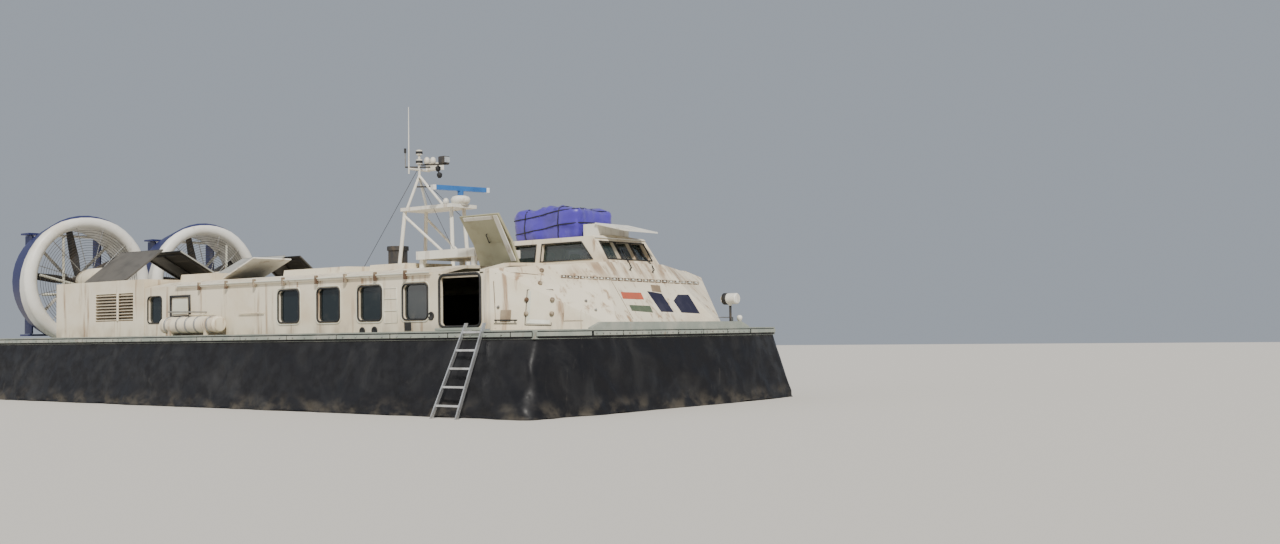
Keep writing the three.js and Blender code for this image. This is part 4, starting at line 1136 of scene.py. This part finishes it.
DOME_PROFILE = [(0, 0.055), (0.06, 0.07), (0.12, 0.062), (0.16, 0.03)]
LAMP_PROFILE = [(-0.13, 0.03), (-0.09, 0.06), (-0.03, 0.065), (0, 0.03)]
LAMP_BAND_PROFILE = [(-0.03, 0.076), (-0.025, 0.082), (0.025, 0.082), (0.03, 0.076)]
PEDESTAL_PROFILE = [(0, 0.14), (0.05, 0.21), (0.13, 0.225), (0.18, 0.19), (0.2, 0.14)]
MAST_X = 2.58
LAMP_BANDS_Z = (5.61, 5.83)
SCANNER_FOOT_Z = 4.495
STAY_FOOT_Z = 2.97


def make_mast_lamps():
    turned("mast_domes", DOME_PROFILE, upright(DOMES_PX, 0), (0, 0, 1), WHITE, sides=18)
    turned("mast_lamp_domes", LAMP_PROFILE, upright(LAMP_DOMES_PX, 0), (0, 0, 1), SEAL, sides=16)
    rods("mast_arms", [upright(arm, 0) for arm in ARMS_PX], 0.018, DARK)
    x, _, z = upright([LAMP_BOX_PX], 0)[0]
    boxes("mast_lamp_box", [((x, -0.1, z), (x + 0.2, 0.1, z + 0.17))], DARK, bevel=0.02)
    boxes("mast_lamp_lens", [((x + 0.2, -0.08, z + 0.02), (x + 0.212, 0.08, z + 0.15))], LENS, bevel=0.003)


def make_mast_poles():
    rods("mast_short_pole", [upright(SHORT_POLE_PX, 0)], 0.014, STEEL_POLE)
    rods("mast_pole_tip", [upright(POLE_TIP_PX, 0)], 0.028, SEAL)
    bands = [(MAST_X, 0, z) for z in LAMP_BANDS_Z]
    turned("mast_lamp_bands", LAMP_BAND_PROFILE, bands, (0, 0, 1), SEAL, sides=18)
    foot = (SCANNER_X, 0, SCANNER_FOOT_Z)
    turned("scanner_pedestal", PEDESTAL_PROFILE, [foot], (0, 0, 1), WHITE, sides=28)
    stays = [[(MAST_X, s * 0.03, 5.25), (4.9, s * 0.9, STAY_FOOT_Z)] for _, s in SIDES]
    stays.append([(MAST_X, 0, 5.5), (0.4, 0, STAY_FOOT_Z)])
    rods("mast_stays", stays, 0.006, DARK, rounding=1)


make_mast_lamps()
make_mast_poles()


# Open roof hatch: pale frame strips and a handle on its underside, by their places in the picture
HATCH = "roof_hatch_starboard"
HATCH_STRIPS_PX = [
    [(492.8, 215.4), (497, 215), (516.2, 260.6), (511.6, 261.2)],
    [(463, 218), (492, 215.6), (493.2, 219), (464.4, 221.4)],
]
HANDLE_PX = [(487, 234), (488.6, 238), (490.2, 242)]


def make_hatch_trim():
    decals("hatch_frame", HATCH_STRIPS_PX, HATCH, WHITE_STRIP, 0.014, 0.004, HATCH)
    grip = traced(HANDLE_PX, HATCH, 0.035)
    feet = list(zip(traced(HANDLE_PX, HATCH), grip))
    rods("hatch_handle", [grip, feet[0], feet[-1]], 0.01, SEAL, HATCH)


make_hatch_trim()


# Engine covers: ribs under the leaves and a rubber edge along their tips
COVER_HINGE_Z = 2.9904
# Name, hinge's distance from the middle, way out from it, angle at rest and length
COVER_LEAVES = (("outer", 3.19, -1, 38, 1.3), ("inner", 0.16, 1, 28, 1.68))
COVER_RIBS_X = (-6.42, -5.6, -4.78)
COVER_ENDS_X = (-6.55, -4.65)
RIB_DEPTH = 0.032


def make_cover_ribs(side, s, name, hinge_y, way, angle, length):
    rise = sin(radians(angle))
    run = cos(radians(angle))

    def on_leaf(x, reach, below=0):
        """Point so far out from the hinge along the leaf, and so far below its sheet."""
        y = hinge_y + way * (reach * run + below * rise)
        return (x, s * y, COVER_HINGE_Z + reach * rise - below * run)

    body = f"engine_cover_{name}_{side}"
    reaches = (0.16, length - 0.12)
    ribs = [[on_leaf(x, reach, RIB_DEPTH) for reach in reaches] for x in COVER_RIBS_X]
    ribs += [[on_leaf(x, reach, RIB_DEPTH) for x in COVER_RIBS_X[::2]] for reach in reaches]
    rods(f"cover_ribs_{name}_{side}", ribs, 0.018, DARK, body)
    tip = [on_leaf(x, length - 0.004) for x in COVER_ENDS_X]
    rods(f"cover_edge_{name}_{side}", [tip], 0.022, RUBBER_SEAL, body)


for side_name, sign in SIDES:
    for cover_leaf in COVER_LEAVES:
        make_cover_ribs(side_name, sign, *cover_leaf)


# Bow deck: hood round the searchlight's glass, guard rail by it and a small white post light
LAMP_GLASS = (9.74, 2.33, 2.2)
HOOD_PROFILE = [(-0.1, 0.121), (-0.1, 0.127), (0, 0.127), (0, 0.121)]
POST_FOOT = (9.62, 2.95, DECK_Z)
POST_PROFILE = [(0, 0.05), (0.16, 0.045), (0.17, 0.06), (0.24, 0.06), (0.27, 0.03)]
GUARD_RAIL_X = 9.66
GUARD_RAIL_Y = (2.05, 2.61)
GUARD_RAIL_TOP = 1.8


def make_bow_fittings():
    turned("searchlight_hood", HOOD_PROFILE, [LAMP_GLASS], (1, 0, 0), SEAL, "searchlight", sides=28)
    turned("bow_post_light", POST_PROFILE, [POST_FOOT], (0, 0, 1), WHITE, sides=16)
    near, far = GUARD_RAIL_Y
    corners = ((near, DECK_Z), (near, GUARD_RAIL_TOP), (far, GUARD_RAIL_TOP), (far, DECK_Z))
    rods("searchlight_guard", [[(GUARD_RAIL_X, y, z) for y, z in corners]], 0.016, STEEL_RAIL)


make_bow_fittings()


# Ducts: guard wires and struts over the mouths, and bolts round the rims
GUARD_X = -8.6
GUARD_RINGS = [0.44 + 0.07 * k for k in range(15)]
SPOKE_RADII = (0.4, 1.5)
RIM_BOLTS_X = -8.95
RIM_BOLTS_RADIUS = 1.7
RIM_BOLT_PROFILE = [(-0.02, 0.03), (0.02, 0.03)]
STRUT_X = -8.72
# Ends of the starboard mouth's struts in the picture; the port ones are their mirror image
STRUTS_PX = (((63.5, 237), (63.5, 317)), ((40, 275), (77, 285)), ((42, 294.5), (72, 294.5)))


def round_duct(x, y, radius, count, turn=0):
    """Even points on a circle about the axis of the duct at y, turned on by a share of a step."""
    angles = [2 * pi * (k + turn) / count for k in range(count)]
    return [(x, y + radius * cos(a), DUCT_Z + radius * sin(a)) for a in angles]


def make_ducts():
    for side, s in SIDES:
        y = s * DUCT_Y
        rings = [round_duct(GUARD_X, y, radius, 56) for radius in GUARD_RINGS]
        rods("guard_rings_" + side, rings, 0.006, DARK, closed=True, rounding=0)
        spokes = zip(*(round_duct(GUARD_X - 0.01, y, radius, 12, 0.5) for radius in SPOKE_RADII))
        rods("guard_spokes_" + side, spokes, 0.011, STEEL, rounding=1)
        struts = []
        for ends in STRUTS_PX:
            picked = [on_plane(*px, (STRUT_X, 0, 0), (1, 0, 0)) for px in ends]
            struts.append([(STRUT_X, y - s * (p.y + DUCT_Y), p.z) for p in picked])
        rods("duct_struts_" + side, struts, 0.035, PALE)
        bolts = round_duct(RIM_BOLTS_X, y, RIM_BOLTS_RADIUS, 24, 0.5)
        turned("duct_rim_bolts_" + side, RIM_BOLT_PROFILE, bolts, (1, 0, 0), STEEL, sides=8)


make_ducts()


# Life rafts: lashing bands round the canisters
RAFT_BANDS_X = (-1.72, -1.25, -0.9, -0.55, -0.08)
RAFT_Y = 3.8
RAFT_Z = 1.82
BAND_PROFILE = [(-0.025, 0.192), (-0.022, 0.203), (0.022, 0.203), (0.025, 0.192)]


def make_raft_bands():
    for side, s in SIDES:
        places = [(x, s * RAFT_Y, RAFT_Z) for x in RAFT_BANDS_X]
        turned("raft_bands_" + side, BAND_PROFILE, places, (1, 0, 0), STEEL, sides=28)


make_raft_bands()


# Deck edge: clamping battens over the skirt's top, with bolts, and the bow's rubbing strip
EDGE_BATTENS_X = [-9.9 + 1.6 * k for k in range(12)]
EDGE_BATTEN_LENGTH = 1.57
FORE_BATTEN_X = (9.3, 9.8)
EDGE_BATTEN_Y = (4.062, 4.078)
EDGE_BATTEN_Z = (1.455, 1.53)
BOLTS_PER_BATTEN = 4
SKIRT_BOLT_PROFILE = [(0, 0.018), (0.014, 0.014)]
RIVET_PROFILE = [(0, 0.018), (0.012, 0.014)]
STRIP_Z = (1.46, 1.535)
# Ends of the strips round the two cut corners of the bow
CORNER_STRIPS = (((9.868, -4.02), (10.062, -2.72)), ((10.062, 2.72), (9.868, 4.02)))


def make_edge_battens():
    spans = []
    for _, s in SIDES:
        inner, outer = (s * y for y in EDGE_BATTEN_Y)
        low, high = EDGE_BATTEN_Z
        lengths = [(x, x + EDGE_BATTEN_LENGTH) for x in EDGE_BATTENS_X] + [FORE_BATTEN_X]
        spans += [((aft, inner, low), (fore, outer, high)) for aft, fore in lengths]
    boxes("skirt_battens", spans, DECK, bevel=0.004)
    for side, s in SIDES:
        bolts = [(x + 0.2 + 0.39 * k, s * EDGE_BATTEN_Y[1], 1.492)
                 for x in EDGE_BATTENS_X for k in range(BOLTS_PER_BATTEN)]
        turned("skirt_bolts_" + side, SKIRT_BOLT_PROFILE, bolts, (0, s, 0), STEEL, sides=6)


def make_bow_edge():
    low, high = STRIP_Z
    strips = [((10.065, -2.66 + 0.89 * k, low), (10.085, -1.8 + 0.89 * k, high)) for k in range(6)]
    boxes("bow_rubbing_strip", strips, DECK, bevel=0.005)
    corners = [[(*a, low), (*b, low), (*b, high), (*a, high)] for a, b in CORNER_STRIPS]
    plates("bow_corner_strips", corners, 0.014, DECK)
    rivets = [(10.085, -2.6 + 0.2 * k, 1.5) for k in range(27)]
    turned("bow_rivets", RIVET_PROFILE, rivets, (1, 0, 0), STEEL, sides=6)


make_edge_battens()
make_bow_edge()
